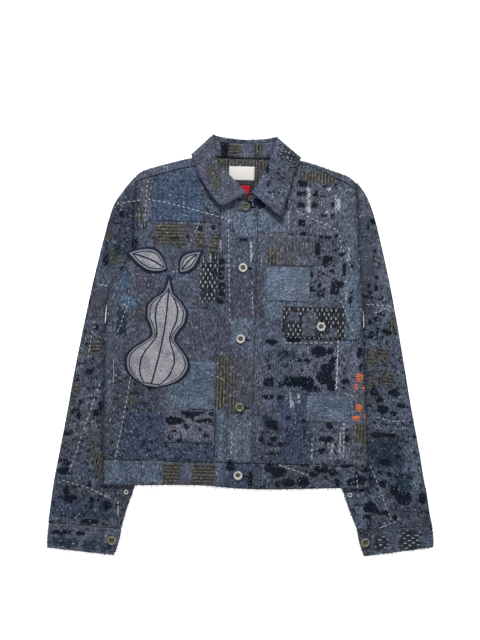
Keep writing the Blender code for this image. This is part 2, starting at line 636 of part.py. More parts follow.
def make_buttons():
    for name, (x, y) in BUTTONS.items():
        wall = front_low(x, y) + LAP + BAND
        make_button(name, x, y, wall + REST, BUTTON, BUTTON_SLOTS.get(name, "off_white_button"))
    x, y = FLAP_BUTTON
    make_button("button_flap", x, y, level_at(x, y, "left") + FLAP["wall"] + REST, BUTTON,
                "off_white_button")
    for hand, (x, y) in CUFF_BUTTONS.items():
        make_button(f"button_cuff_{hand}", x, y, CUFF + SEAM, BUTTON,
                    "dull_brass_button")
    for hand in ("right", "left"):
        start = Vector(sleeve_point(SLIT_BUTTON["around"], SLIT_BUTTON["ring"], hand))
        end = Vector(sleeve_point(SLIT_BUTTON["around"], SLIT_BUTTON["ring"] + 1, hand))
        x, y, z = start.lerp(end, SLIT_BUTTON["share"])
        make_button(f"button_sleeve_{hand}", x, y, z + PATCH + 2.0 * REST, SMALL_BUTTON,
                    "off_white_button")


for old in list(bpy.data.objects):
    bpy.data.objects.remove(old)
parts = bpy.data.collections.new(OBJECT_NAME)
bpy.context.scene.collection.children.link(parts)
materials = {}
make_back()
make_fronts()
make_bands()
make_waistband()
make_sleeves()
make_collar()
make_patches()
make_applique()
make_labels()
make_flap()
make_buttons()
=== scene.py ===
import bisect
import math
import random

import bmesh
import bpy
import numpy as np
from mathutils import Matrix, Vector, noise
from mathutils.bvhtree import BVHTree


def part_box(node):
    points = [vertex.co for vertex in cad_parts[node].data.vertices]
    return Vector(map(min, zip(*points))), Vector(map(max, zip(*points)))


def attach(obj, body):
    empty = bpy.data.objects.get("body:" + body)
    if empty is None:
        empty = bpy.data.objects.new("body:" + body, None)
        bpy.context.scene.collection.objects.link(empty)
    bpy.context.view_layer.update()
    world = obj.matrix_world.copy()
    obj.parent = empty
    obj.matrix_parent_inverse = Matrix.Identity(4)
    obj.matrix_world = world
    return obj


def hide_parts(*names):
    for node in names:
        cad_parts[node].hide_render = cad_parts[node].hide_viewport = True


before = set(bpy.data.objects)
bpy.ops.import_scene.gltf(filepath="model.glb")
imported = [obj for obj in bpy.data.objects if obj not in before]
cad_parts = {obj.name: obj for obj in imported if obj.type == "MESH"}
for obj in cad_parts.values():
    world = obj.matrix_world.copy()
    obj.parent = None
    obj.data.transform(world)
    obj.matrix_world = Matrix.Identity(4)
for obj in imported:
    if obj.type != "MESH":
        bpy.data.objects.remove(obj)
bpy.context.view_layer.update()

# Sizes and places are in millimetres from a point in the placket at waist height: x to the
# wearer's left, y to the collar, z up. place() moves them to the part's own origin, in metres.
mm = 0.001
outlineMiddle = Vector((10.8, -3.5, 0.0))
random.seed(7)


def place(x, y, z):
    return (Vector((x, y, z)) - outlineMiddle) * mm


def snake(name):
    # the name as nodes and slots are called
    return "".join("_" + letter.lower() if letter.isupper() else letter for letter in name)


def ease(t):
    t = min(1.0, max(0.0, t))
    return t * t * (3.0 - 2.0 * t)


def between(span, at):
    return ease((at - span[0]) / (span[1] - span[0]))


def mix(a, b, t):
    return a + (b - a) * t


def smoothLine(points):
    # a smooth line through the points that never overshoots them
    points = sorted(points)
    xs = [p[0] for p in points]
    ys = [p[1] for p in points]
    steps = [(ys[i + 1] - ys[i]) / (xs[i + 1] - xs[i]) for i in range(len(xs) - 1)]
    turns = [0.0 if a * b <= 0 else 2.0 * a * b / (a + b) for a, b in zip(steps, steps[1:])]
    slopes = [steps[0]] + turns + [steps[-1]]

    def at(x):
        x = min(max(x, xs[0]), xs[-1])
        i = min(len(xs) - 2, max(0, bisect.bisect_right(xs, x) - 1))
        width = xs[i + 1] - xs[i]
        t = (x - xs[i]) / width
        return (ys[i] * (1 + 2 * t) * (1 - t) ** 2 + slopes[i] * width * t * (1 - t) ** 2
                + ys[i + 1] * t * t * (3 - 2 * t) + slopes[i + 1] * width * t * t * (t - 1))
    return at


def alongRows(rows, t):
    # a row between the table's rows, t counting them, on a smooth curve
    i = min(len(rows) - 2, max(0, int(t)))
    f = t - i
    p0, p1, p2, p3 = (rows[min(len(rows) - 1, max(0, j))] for j in (i - 1, i, i + 1, i + 2))
    return [0.5 * (2 * b + (c - a) * f + (2 * a - 5 * b + 4 * c - d) * f * f
                   + (3 * b - a - 3 * c + d) * f ** 3) for a, b, c, d in zip(p0, p1, p2, p3)]


# the jacket's cut and its heights, in millimetres
body = {
    "wall": 1.8, "bandWall": 2.4, "seam": 0.3, "waist": -222.0, "hemMiddle": -268.0,
    "underBand": (-43.0, 22.0), "overBand": (-19.0, 27.0), "neckHalf": 82.0,
    "tuck": 4.2, "sleeve": 7.4, "cuff": 8.0, "hollow": 3.0, "neckLift": 3.0,
    "lapSlope": (24.0, 62.0),
    # how far in from a sleeve's fold the tuck starts and how wide its slope is, and over which
    # levels the underarm, the chest and the neck change
    "tuckReach": 74.0, "tuckSlope": 40.0, "hollowSlope": 70.0, "underarm": (80.0, 125.0),
    "armpit": (62.0, 122.0), "chest": (210.0, 300.0), "neck": (290.0, 328.0), "neckSides": (108.0, 132.0),
    # height, then the side edge at the wearer's right and left
    "sides": [(-270, -249, 250), (-110, -252.8, 238.5), (0, -254, 231.5), (72, -251, 229),
              (104, -245.4, 226.5), (135, -225.6, 223.5), (175, -208, 220), (312, -203.5, 209.5)],
    "hem": [(-250, -269.8), (-68, -265), (-10, -268.3), (38, -269.4), (110, -267.5),
            (202, -263), (251, -264)],
    "bandTop": [(-43, 287), (-20, 275), (4, 271.5), (27, 272)],
    "armholeLevels": [72, 88, 104, 120, 135, 155, 175, 215, 250, 285, 311],
}
shoulders = {
    "ridge": {"right": [(-206, 311), (-191, 322), (-165, 331), (-129, 341.6), (-104, 347.5),
                        (-82, 350)],
              "left": [(82, 351), (112, 347.5), (137, 341), (170, 330), (194, 322), (211, 309)]},
    "frontTop": {"right": [(-206, 299), (-193, 305), (-165, 313), (-122, 326), (-90, 332),
                           (-79, 334), (-72, 321), (-60, 303), (-43, 287)],
                 "left": [(27, 273), (45, 283), (60, 300), (72, 326), (80, 339), (112, 340),
                          (137, 332), (170, 316.5), (187, 310), (202, 302.5), (212, 295)]},
    "neckSeam": [(-82, 350), (-40, 349), (0, 348.5), (40, 349), (82, 350.5)],
}
# rings of a sleeve and its cuff: the inner fold's x and y, then the outer one's
sleeveRings = {
    "right": [(-251, 72, -205, 311), (-252.2, 66, -224, 286), (-253.3, 58, -244, 252),
              (-253.9, 48, -262, 180), (-253.3, 34, -279, 100), (-245, 12, -292, 30),
              (-216, -25, -304, -38), (-186, -75, -313, -95), (-168, -130, -321, -148),
              (-170, -185, -330, -202), (-182, -240, -338, -250), (-190.5, -272.5, -341.5, -275),
              (-202, -308, -345.5, -310), (-213.5, -350.6, -348.8, -342.2)],
    "left": [(229, 72, 211, 308.5), (230, 66, 228, 286), (230.5, 58, 243, 250),
             (230, 48, 262, 180), (227.5, 34, 281, 100), (214, 12, 297, 22),
             (190, -25, 309, -40), (168, -75, 319, -92), (158, -130, 330, -145),
             (164, -185, 341, -196), (182, -236, 350, -244), (198.5, -266.8, 356, -268.8),
             (212, -302, 362, -304), (228.7, -341.2, 368, -329.8)]}
cuffRings = {
    "right": [(-213, -351.1, -349.8, -342.6), (-218.5, -380, -352, -372),
              (-226, -400, -351.5, -389.5)],
    "left": [(228.2, -341.7, 369.6, -330.2), (235, -368, 373, -356), (243, -389.8, 372.5, -369.5)]}

sideLine = {"right": smoothLine([(y, r) for y, r, l in body["sides"]]),
            "left": smoothLine([(y, l) for y, r, l in body["sides"]])}
hemLine = smoothLine(body["hem"])
bandTopLine = smoothLine(body["bandTop"])
ridgeLine = {hand: smoothLine(rows) for hand, rows in shoulders["ridge"].items()}
frontTopLine = {hand: smoothLine(rows) for hand, rows in shoulders["frontTop"].items()}
neckSeamLine = smoothLine(shoulders["neckSeam"])
foldLine = {hand: smoothLine([(row[1], abs(row[0])) for row in rows])
            for hand, rows in sleeveRings.items()}
armholeLine = smoothLine(list(enumerate(body["armholeLevels"])))


def handOf(x):
    return "left" if x > 0 else "right"


def tuckShare(x, y):
    # 1 where the body lies on the sleeve folded under it, 0 where it lies on the floor
    fold = foldLine[handOf(x)](y)
    share = ease((abs(x) - fold + body["tuckReach"]) / body["tuckSlope"])
    return share * (1.0 - between(body["underarm"], y))


def backLow(x, y):
    neck = between(body["neck"], y) * (1.0 - between(body["neckSides"], abs(x)))
    return (body["tuck"] + body["seam"]) * tuckShare(x, y) + body["neckLift"] * neck


def frontLow(x, y):
    inward = abs(sideLine[handOf(x)](y)) - abs(x)
    hollow = body["hollow"] * ease(inward / body["hollowSlope"]) * mix(1.0, 0.35, between(body["chest"], y))
    hollow *= mix(1.0, 0.3, tuckShare(x, y))
    return backLow(x, y) + body["bandWall"] + body["seam"] + hollow


def seamDip(inside, deep=0.7, wide=2.6):
    # how far cloth turns down into a seam, this far inside its edge
    return deep * (1.0 - ease(inside / wide))


def lapRise(x):
    return (body["bandWall"] + body["seam"]) * (1.0 - between(body["lapSlope"], x))


def frontTop(x, y, hand=None):
    # top of a front panel, before its creases
    hand = hand or ("left" if x > body["overBand"][1] else "right")
    return frontLow(x, y) + body["wall"] + (lapRise(x) if hand == "left" else 0.0)


def bandTop(x, y):
    # top of the over band, which the buttons sit on
    return frontLow(x, y) + 2 * body["bandWall"] + body["seam"]


def sleeveTop(x, y, hand):
    beside = abs(x) - abs(sideLine[hand](y))
    outside = max(beside, hemLine(x) - y)
    tucked = mix(body["tuck"], body["sleeve"], between((8.0, 42.0), outside))
    seamTop = frontLow(sideLine[hand](y), y) + body["wall"]
    hung = mix(seamTop, body["sleeve"], ease(beside / 50.0))
    return mix(tucked, hung, between(body["armpit"], y))


# creases: soft ridges and troughs, each a half width, a height and the corners of its line
creases = [
    # from the wearer's right underarm and down that front
    (15, 2.6, (-236, 118), (-205, 96), (-172, 84)), (13, 2.0, (-230, 140), (-200, 152), (-178, 178)),
    (12, 1.8, (-212, 210), (-190, 240), (-176, 282)), (17, 2.2, (-236, -30), (-214, -110), (-216, -190)),
    (16, 1.6, (-176, -96), (-150, -150), (-146, -205)), (14, -0.9, (-104, -60), (-96, -130), (-108, -200)),
    (14, 1.2, (-80, 240), (-74, 150), (-66, 60)),
    # the wearer's left front
    (15, 2.4, (214, 118), (188, 92), (160, 80)), (11, 2.6, (214, 226), (206, 180), (196, 140)),
    (14, -1.0, (188, 290), (176, 240), (182, 190)), (18, 2.2, (206, 20), (196, -60), (208, -150)),
    (16, 1.5, (120, -50), (112, -120), (126, -200)), (15, 1.2, (66, 60), (58, -30), (66, -130)),
    (13, 1.0, (60, 210), (92, 170), (110, 110)),
    # waistband ripples
    (11, 1.6, (-206, -214), (-198, -262)), (12, 1.4, (-120, -212), (-126, -262)),
    (12, 1.3, (74, -212), (70, -264)), (13, 1.8, (168, -210), (174, -260)),
    # the wearer's right sleeve
    (11, 2.6, (-226, 262), (-240, 190), (-262, 120)), (10, 2.2, (-262, 96), (-276, 30), (-282, -30)),
    (12, 2.4, (-258, -60), (-290, -76), (-306, -74)), (13, 2.6, (-258, -120), (-286, -128), (-312, -122)),
    (13, 2.2, (-262, -190), (-296, -176), (-322, -186)),
    (14, 2.4, (-270, -250), (-300, -262), (-330, -250)),
    (14, 2.2, (-232, -300), (-262, -288), (-300, -300)),
    (14, 1.6, (-300, -320), (-296, -280), (-310, -230)),
    # the wearer's left sleeve
    (11, 2.8, (226, 268), (238, 200), (258, 140)), (11, 2.2, (250, 96), (268, 40), (276, -20)),
    (12, 2.4, (250, -40), (284, -58), (306, -50)), (13, 2.6, (254, -96), (288, -104), (318, -92)),
    (13, 2.0, (262, -160), (292, -150), (330, -168)), (14, 2.4, (268, -226), (306, -236), (342, -222)),
    (14, 2.4, (236, -292), (276, -300), (322, -286)), (13, 1.6, (322, -316), (318, -270), (332, -220)),
]


def creaseRise(x, y):
    # x and y are arrays of places; the troughs stay shallow, so the layers below stay clear
    total = np.zeros(len(x))
    for half, rise, *line in creases:
        near = np.full(len(x), np.inf)
        along = np.zeros(len(x))
        for step, (a, b) in enumerate(zip(line, line[1:])):
            ax, ay, bx, by = a[0], a[1], b[0] - a[0], b[1] - a[1]
            t = np.clip(((x - ax) * bx + (y - ay) * by) / (bx * bx + by * by), 0.0, 1.0)
            gap = np.hypot(x - ax - bx * t, y - ay - by * t)
            closer = gap < near
            near = np.where(closer, gap, near)
            along = np.where(closer, (step + t) / (len(line) - 1), along)
        fade = np.sin(np.pi * np.clip(along * 0.92 + 0.04, 0.0, 1.0)) ** 0.6
        total += rise * fade * np.exp(-(near / half) ** 2 * 1.6)
    return np.maximum(total, -1.0)


def slub(x, y):
    # the quilted layers' slow unevenness, in millimetres
    return np.array([0.55 * noise.noise(Vector((a / 21, b / 27, 3.1)))
                     + 0.30 * noise.noise(Vector((a / 8, b / 10, 7.7))) for a, b in zip(x, y)])


# dyes, in linear colour, for the charts of what was patched and dyed where
dyes = {
    "slate": (0.092, 0.102, 0.137), "slateBlue": (0.074, 0.091, 0.134), "light": (0.112, 0.148, 0.208),
    "pale": (0.122, 0.150, 0.202), "navy": (0.054, 0.074, 0.124), "teal": (0.014, 0.034, 0.056),
    "plum": (0.072, 0.072, 0.108), "brown": (0.088, 0.092, 0.122), "grey": (0.117, 0.123, 0.164),
    "lilac": (0.105, 0.105, 0.165), "bright": (0.090, 0.145, 0.230), "dusk": (0.024, 0.036, 0.062),
    "gloom": (0.062, 0.070, 0.096), "haze": (0.114, 0.130, 0.182), "deep": (0.042, 0.051, 0.076),
    "olive": (0.076, 0.078, 0.078), "blue": (0.058, 0.084, 0.142), "charcoal": (0.022, 0.024, 0.031),
    "mist": (0.100, 0.110, 0.146), "faded": (0.098, 0.120, 0.158),
}


def laidOut(*rows):
    # each row is a name and the left, low, right and high of one or more patches. "warp" and "weft"
    # are olive stripes that run up and across, "dots" white running stitches on a dark ground; ink,
    # snow, flecks and blots are marks, which lie over the dyes
    return [(name, *sides) for name, *patches in rows for sides in patches]


rightFrontChart = laidOut(
    ("deep", (-228, 158, -194, 290)), ("gloom", (-104, 200, -44, 246)), ("blue", (-232, 92, -208, 140)),
    # the narrow navy strip from x -209 to -203 is painted shade of the armhole fold
    ("warp", (-211, 228, -189, 246)), ("navy", (-209, 206, -203, 300)), ("blue", (-173, 226, -79, 326)),
    ("weft", (-167, 184, -107, 224)), ("brown", (-107, 165, -61, 205)), ("weft", (-61, 166, -45, 205)),
    ("dots", (-78, 79, -48, 158)), ("bright", (-226, 64, -196, 88)), ("gloom", (-232, -131, -138, -63)),
    ("warp", (-208, -116, -195, -101)), ("light", (-133, -123, -43, -34)),
    ("grey", (-131, -183, -41, -123)), ("navy", (-217, -221, -136, -131), (-130, -220, -40, -190)),
    ("light", (-249, -267, -138, -229)), ("weft", (-138, -264, -106, -226), (-82, -264, -39, -226)),
    ("lilac", (-106, -262, -82, -228)), ("teal", (-232, 10, -214, 60)), ("plum", (-200, 90, -150, 150)),
    ("ink", (-209, 166, -198, 194), (-190, 214, -181, 222), (-117, -184, -108, -176)),
    ("snow", (-42, 178, -35, 203)),
    ("flecks", (-184, 178, -79, 207), (-80, 206, -24, 262), (-75, 66, -24, 168), (-240, -222, -150, -20),
     (-140, -222, -44, -186)))
underBandChart = laidOut(
    ("warp", (-43, -121, -19, -22)), ("light", (-38, -264, -27, -121), (-43, 232, -16, 262)),
    ("plum", (-43, -10, -19, 60)),
    ("blot", (-46, 150, -32, 163), (-45, 137, -33, 148), (-46, 122, -32, 134), (-45, 104, -31, 116),
     (-43, 91, -32, 100), (-45, 77, -32, 88)))
overBandChart = laidOut(
    ("light", (-19, 206, 27, 250)), ("plum", (-19, 53, 20, 132)), ("light", (-19, 0, 22, 51)),
    ("brown", (-19, -131, 27, -21)), ("warp", (-14, -124, -4, -50)), ("pale", (-19, -216, 27, -141)),
    ("navy", (-19, -268, 27, -218)), ("ink", (-8, 194, 9, 201)), ("snow", (17, 160, 18, 192)),
    # the first blot, by the neck button, is a painted shadow under the collar leaves
    ("blot", (2, 261, 28, 277), (22, -262, 30, -238), (-20, -237, -3, -216)))
leftFrontChart = laidOut(
    # the first navy strip, from x 212 to 219, is painted shade of the armhole fold
    ("navy", (212, 60, 219, 238)), ("light", (24, 214, 88, 254)), ("plum", (27, 52, 43, 142)),
    ("warp", (104, 310, 172, 329)), ("brown", (46, 151, 134, 209)),
    ("warp", (48, 150, 69, 180), (82, 179, 93, 189)), ("plum", (167, 73, 188, 84)),
    ("light", (44, 53, 127, 149), (192, 6, 218, 150)), ("faded", (178, 150, 222, 300)),
    ("mist", (92, 215, 180, 300)), ("grey", (204, -222, 240, 10)),
    ("haze", (132, 84, 192, 160), (100, -78, 200, 2), (204, -140, 222, 10)), ("navy", (76, -148, 140, -84)),
    ("faded", (136, -141, 222, -83)), ("light", (138, -136, 214, -87)), ("navy", (84, -222, 142, -148)),
    ("haze", (142, -222, 204, -147)),
    ("teal", (84, -74, 137, -54), (45, -139, 65, -131), (71, -21, 105, -8)),
    ("olive", (219, -177, 245, -140)), ("warp", (219, -177, 245, -140)),
    ("light", (196, 26, 227, 74), (27, -8, 41, 29)), ("brown", (28, -131, 43, -18)),
    ("ink", (99, 300, 118, 311), (98, 283, 116, 291), (128, 282, 139, 293), (100, 261, 115, 270),
     (126, 261, 139, 271), (164, 264, 171, 272), (164, 243, 170, 251), (103, 225, 116, 238),
     (144, 244, 157, 250), (144, 281, 154, 285), (146, 300, 155, 304), (169, 303, 174, 308),
     (124, 227, 128, 231), (85, 206, 96, 211), (107, 208, 118, 216), (122, 207, 135, 210),
     (143, 204, 166, 209), (171, 206, 182, 212), (136, 173, 145, 196), (150, 155, 169, 172),
     (181, 172, 193, 180), (188, 135, 195, 159), (163, 140, 173, 147), (128, 131, 134, 141),
     (149, 136, 156, 141), (142, 111, 149, 121), (127, 103, 134, 114), (168, 112, 192, 125),
     (142, 94, 155, 107), (166, 99, 183, 112), (196, 65, 226, 69)),
    ("snow", (119, 272, 123, 298), (118, 253, 125, 262), (175, 256, 180, 279), (158, 293, 163, 298),
     (153, 252, 159, 257), (198, 160, 200, 188), (181, -80, 184, -26), (192, -206, 195, -150),
     (97, -114, 103, -100), (111, -106, 114, -88), (175, -203, 179, -182), (139, -208, 141, -170)),
    ("flecks", (118, 84, 196, 212), (46, -78, 200, -8), (24, -222, 238, -150), (27, -268, 250, -222)),
    # the first blot, at x 24 to 40 by the neck, is a painted shadow under the collar's left leaf
    ("blot", (24, 258, 40, 277), (84, -76, 112, -56), (104, -75, 139, -55), (87, 7, 109, 20),
     (51, 2, 68, 12), (133, -20, 160, 2), (165, -11, 175, -1), (219, -16, 230, 2), (223, -40, 230, -29),
     (103, -28, 116, -21), (118, -29, 131, -23), (167, -38, 188, -18), (153, -50, 174, -31),
     (146, -69, 173, -44), (165, -81, 184, -59), (117, -81, 142, -71), (46, -77, 65, -59),
     (75, -78, 86, -71), (46, -100, 63, -92), (73, -100, 82, -91), (192, -68, 207, -58),
     (140, -83, 154, -78), (50, -155, 74, -138), (89, -137, 99, -131), (67, -158, 75, -153),
     (41, -181, 51, -171), (62, -178, 73, -168), (56, -186, 66, -181), (76, -187, 91, -180),
     (50, -205, 73, -198), (165, -152, 178, -140), (151, -177, 175, -168), (202, -176, 209, -165),
     (189, -175, 195, -170), (120, -143, 127, -138), (152, -199, 164, -189), (53, -236, 74, -221),
     (65, -246, 92, -228), (85, -264, 107, -248), (115, -262, 135, -244), (72, -263, 83, -253),
     (146, -233, 156, -219), (158, -235, 171, -220), (172, -241, 186, -226), (139, -243, 149, -237),
     (185, -260, 195, -246), (207, -258, 228, -244), (221, -255, 243, -238), (234, -233, 246, -223),
     (197, -225, 203, -220), (206, -223, 217, -218), (130, -225, 137, -218), (204, 103, 209, 110),
     (202, 85, 207, 95), (204, 151, 208, 156), (227, 41, 233, 50)))
leftSleeveChart = laidOut(
    ("gloom", (205, 40, 250, 250)), ("haze", (250, 60, 300, 204)), ("faded", (293, -93, 330, 20)),
    ("light", (316, -262, 346, -169), (225, -341, 250, -290)), ("plum", (332, -325, 378, -289)),
    ("olive", (241, -30, 281, 2)),
    ("weft", (260, -16, 281, 2), (241, -30, 255, -17), (267, -68, 290, -41), (244, -75, 257, -50)),
    ("warp", (277, 28, 292, 57)),
    ("dots", (308, -375, 350, -338), (262, -375, 289, -352), (234, -353, 249, -341), (248, 149, 261, 173)),
    ("navyBlot", (296, -181, 315, -167), (253, -199, 292, -182)),
    ("teal", (292, -221, 315, -199), (296, -262, 328, -230)), ("navy", (274, -186, 306, -175)),
    # the navy strip from x 219 to 226 is painted shade of the armhole fold
    ("dusk", (252, -224, 306, -168), (234, -262, 262, -226)), ("navy", (219, 110, 226, 240)),
    ("ink", (249, -167, 299, -158)), ("flecks", (225, -130, 330, 120), (205, -345, 375, -130)),
    ("blot", (238, 18, 260, 25), (256, 27, 285, 33), (245, -88, 259, -77), (258, -100, 270, -89),
     (258, -122, 280, -106), (281, -88, 301, -76), (295, -108, 304, -99), (286, -125, 295, -117),
     (245, -110, 252, -103), (306, -110, 314, -103), (272, -219, 290, -205), (264, -216, 274, -204),
     (279, -238, 292, -229), (265, -234, 274, -226), (268, -260, 281, -247), (288, -276, 304, -254),
     (301, -290, 331, -266), (343, -288, 356, -266), (239, -307, 264, -287), (241, -321, 255, -310),
     (231, -232, 245, -221), (220, -269, 243, -260), (261, -311, 271, -302), (275, -310, 284, -303),
     (296, -318, 303, -309), (234, 114, 240, 121), (249, 110, 255, 119), (236, 102, 242, 109),
     (229, 94, 247, 98), (255, 92, 266, 97), (226, 96, 231, 100), (261, 62, 272, 68), (249, 50, 260, 59),
     (239, 43, 246, 51), (256, 32, 277, 38), (238, 26, 254, 33), (245, 179, 251, 188), (244, 167, 248, 172),
     (231, 223, 236, 231), (239, 233, 248, 245), (249, 128, 256, 138)))
rightSleeveChart = laidOut(
    ("mist", (-330, -182, -262, -98)), ("deep", (-262, 158, -190, 290)),
    ("warp", (-247, 281, -230, 296), (-252, 148, -226, 167), (-261, 191, -250, 206)),
    ("teal", (-238, 161, -219, 180)), ("lilac", (-248, 257, -226, 285)), ("faded", (-258, 78, -232, 123)),
    ("weft", (-286, -26, -261, 0)), ("plum", (-295, 43, -269, 77)), ("faded", (-307, -66, -288, -21)),
    ("navy", (-343, -342, -223, -296)), ("weft", (-311, -96, -300, -80), (-313, -117, -304, -110)),
    ("warp", (-319, -148, -312, -136), (-274, -209, -265, -187), (-270, -239, -252, -208),
     (-262, -257, -251, -239)),
    ("mist", (-352, -358, -222, -333)), ("haze", (-352, -368, -214, -343), (-352, -404, -214, -368)),
    ("tealBlot", (-344, -387, -295, -368), (-286, -394, -254, -371), (-248, -392, -225, -381)),
    ("ink", (-233, 234, -223, 246), (-262, 142, -250, 162), (-288, -62, -273, -51), (-279, 21, -266, 32)),
    ("flecks", (-350, -345, -205, 250), (-344, -362, -262, -350)),
    ("blot", (-274, -141, -259, -130), (-266, -150, -258, -144), (-303, -147, -294, -133),
     (-311, -134, -302, -128), (-328, -179, -311, -170), (-300, -118, -291, -110), (-263, -125, -255, -113),
     (-327, -235, -314, -222), (-335, -250, -312, -238), (-323, -293, -312, -274), (-323, -301, -300, -290),
     (-275, -302, -265, -291), (-281, -274, -272, -267), (-248, -314, -232, -299), (-276, -314, -269, -307),
     (-225, -312, -218, -303), (-288, -327, -281, -322), (-288, -343, -258, -334), (-297, -364, -282, -357),
     (-341, -363, -312, -356)))
collarChart = laidOut(
    ("dots", (62, 349, 92, 378), (80, 343, 108, 366)), ("lilac", (-92, 300, -70, 350)),
    ("warp", (-58, 290, -44, 322)), ("weft", (-70, 318, -54, 334)),
    ("ink", (39, 323, 45, 347), (42, 297, 46, 304), (46, 284, 52, 290), (60, 319, 65, 324),
     (90, 307, 96, 313), (63, 283, 67, 288)),
    ("flecks", (44, 280, 96, 330), (40, 325, 106, 376)))
standChart = laidOut(
    ("weft", (-31, 330, -7, 400)), ("lilac", (-7, 335, 14, 373)), ("warp", (14, 330, 33, 400)),
    ("lilac", (33, 330, 80, 400)), ("ink", (-46, 333, -31, 400)))
backChart = laidOut(
    ("warp", (-82, 240, 82, 352)))
weaveDyes = {"warp": "olive", "weft": "olive", "dots": "charcoal"}
markKinds = ["ink", "snow", "flecks"]
# sideSeamShade: how much painted shade darkens the cloth beside the body's side seams and armholes
patchwork = {"block": (46.0, 38.0), "tone": 0.26, "edge": 1.6, "ragged": 3.2, "small": 26.0,
             "cover": 0.88, "sideSeamShade": 0.42}


def oneOf(kinds, name):
    return np.array([float(kind == name) for kind in kinds])


def dyeCloth(places, chart, base, tone):
    # the cloth's dye and woven stripes at each place: worn blocks of uneven tone, painted shade along the
    # side seams and armholes, then the chart
    x, y = places.T
    rough = np.array([[noise.noise(Vector((a / wide, b / high, level))) for wide, high, level in
                       ((5.5, 5.5, 1.7), (15, 15, 9.2), (60, 75, 4.4))] for a, b in places])
    wide, high = patchwork["block"]
    columns, rows = np.floor((x + 6 * rough[:, 1]) / wide), np.floor((y + 5 * rough[:, 1]) / high)
    blocks = np.array([noise.cell(Vector((a, b, 2))) for a, b in zip(columns, rows)])
    level = 1.0 + tone * blocks * 0.7 + tone * rough[:, 2] + tone * 0.55 * rough[:, 1]
    hue = np.clip(0.5 + rough[:, 2] + 0.35 * blocks, 0.0, 1.0)[:, None]
    other = "slateBlue" if base == "slate" else base
    colour = (np.array(dyes[base]) * (1 - hue) + np.array(dyes[other]) * hue) * level[:, None]
    # painted shade: the cloth is darker close to the body's side line, where the folds at the side seams
    # and armholes lie in shade
    seamGap = np.array([abs(a) - abs(sideLine[handOf(a)](b)) for a, b in places]) + 2.0 * rough[:, 0]
    sideSeamShade = (1.0 - patchwork["sideSeamShade"] * np.exp(-(seamGap / 5.0) ** 2))[:, None]
    weave, marks = np.zeros((len(x), 3)), np.zeros((len(x), 3))
    for name, left, low, right, high in chart:
        inside = np.minimum(np.minimum(x - left, right - x), np.minimum(y - low, high - y))
        if name.lower().endswith("blot"):
            # a rounded blot rather than a block
            halfWide, halfHigh = (right - left) / 2, (high - low) / 2
            inside = 1.0 - np.hypot((x - left - halfWide) / halfWide, (y - low - halfHigh) / halfHigh)
            inside = inside * min(halfWide, halfHigh) + 2.6 * rough[:, 0] + 1.2 * rough[:, 1] + 0.8
            name = "ink" if name == "blot" else name[:-4]
        if name in markKinds:
            # a mark keeps a crisp edge, which the material cuts out of this slope
            slope = np.clip(0.5 + (inside + 0.9 * rough[:, 0]) / 5.0, 0.0, 1.0)[:, None]
            marks = np.maximum(marks, oneOf(markKinds, name) * slope)
            continue
        small = min(right - left, high - low) < patchwork["small"]
        ragged = patchwork["ragged"] * (0.6 if small else 1.0)
        inside = inside + ragged * rough[:, 0] * 1.6 + ragged * 0.6 * rough[:, 1]
        share = np.clip(0.5 + inside / patchwork["edge"] / 2, 0.0, 1.0)[:, None]
        weave = weave * (1 - share) + oneOf(weaveDyes, name) * share
        dye = np.array(dyes[weaveDyes.get(name, name)]) * (1.0 + 0.5 * tone * rough[:, 1:2])
        colour = colour * (1 - share * patchwork["cover"]) + dye * share * patchwork["cover"]
    return colour * sideSeamShade, weave, marks


# how far apart the quilting stitches are and how much they show, how deep the yarn's unevenness
# goes and which way it runs, how many specks there are, how big the woven cells are and how much
# they differ, and the colours of olive yarn; each cloth says what it has of its own
plainCloth = {"across": 4.4, "up": 6.2, "dark": 0.75, "pale": 0.30, "low": 0.58, "high": 1.38,
              "run": (1.0, 0.45, 1.0), "specks": 0.8, "pick": (2.3, 3.6), "picked": 0.24,
              "olive": ((0.060, 0.056, 0.040), (0.178, 0.158, 0.098))}
cloths = {
    "slateCloth": {},
    # innerCloth, for the back and the stand seen inside the neck: darker than the slate cloth, partly its
    # own duller olive stripes and partly painted shade under the collar
    "innerCloth": {"pale": 0.22, "high": 1.30, "specks": 0.4, "picked": 0.20,
                   "olive": ((0.046, 0.044, 0.032), (0.140, 0.126, 0.086))},
    "lightIndigoCloth": {"across": 4.8, "up": 5.6, "dark": 0.55, "pale": 0.15, "low": 0.66, "high": 1.34,
                         "run": (0.40, 1.0, 1.0), "specks": 0.35, "pick": (3.8, 2.1), "picked": 0.18},
    "oliveStripeCloth": {"across": 4.2, "up": 6.0, "dark": 0.4, "pale": 0.2, "low": 0.45, "high": 1.5,
                         "run": (1.0, 0.5, 1.0), "specks": 0.5},
    "dottedNavyCloth": {"across": 5.0, "up": 6.0, "dark": 0.3, "low": 0.35, "high": 1.6,
                        "run": (1.0, 0.6, 1.0)},
    "brushedGreyCloth": {"across": 4.6, "up": 5.4, "dark": 0.5, "pale": 0.25, "low": 0.55, "high": 1.5,
                         "run": (1.0, 0.5, 1.0), "specks": 0.6},
    "greyBrownCloth": {"across": 4.2, "up": 8.0, "dark": 0.45, "low": 0.5, "high": 1.5,
                       "run": (1.0, 0.3, 1.0), "specks": 0.5},
    "tealNavyCloth": {"across": 5.0, "up": 6.0, "dark": 0.3, "low": 0.4, "high": 1.6,
                      "run": (1.0, 0.5, 1.0), "specks": 0.7},
}


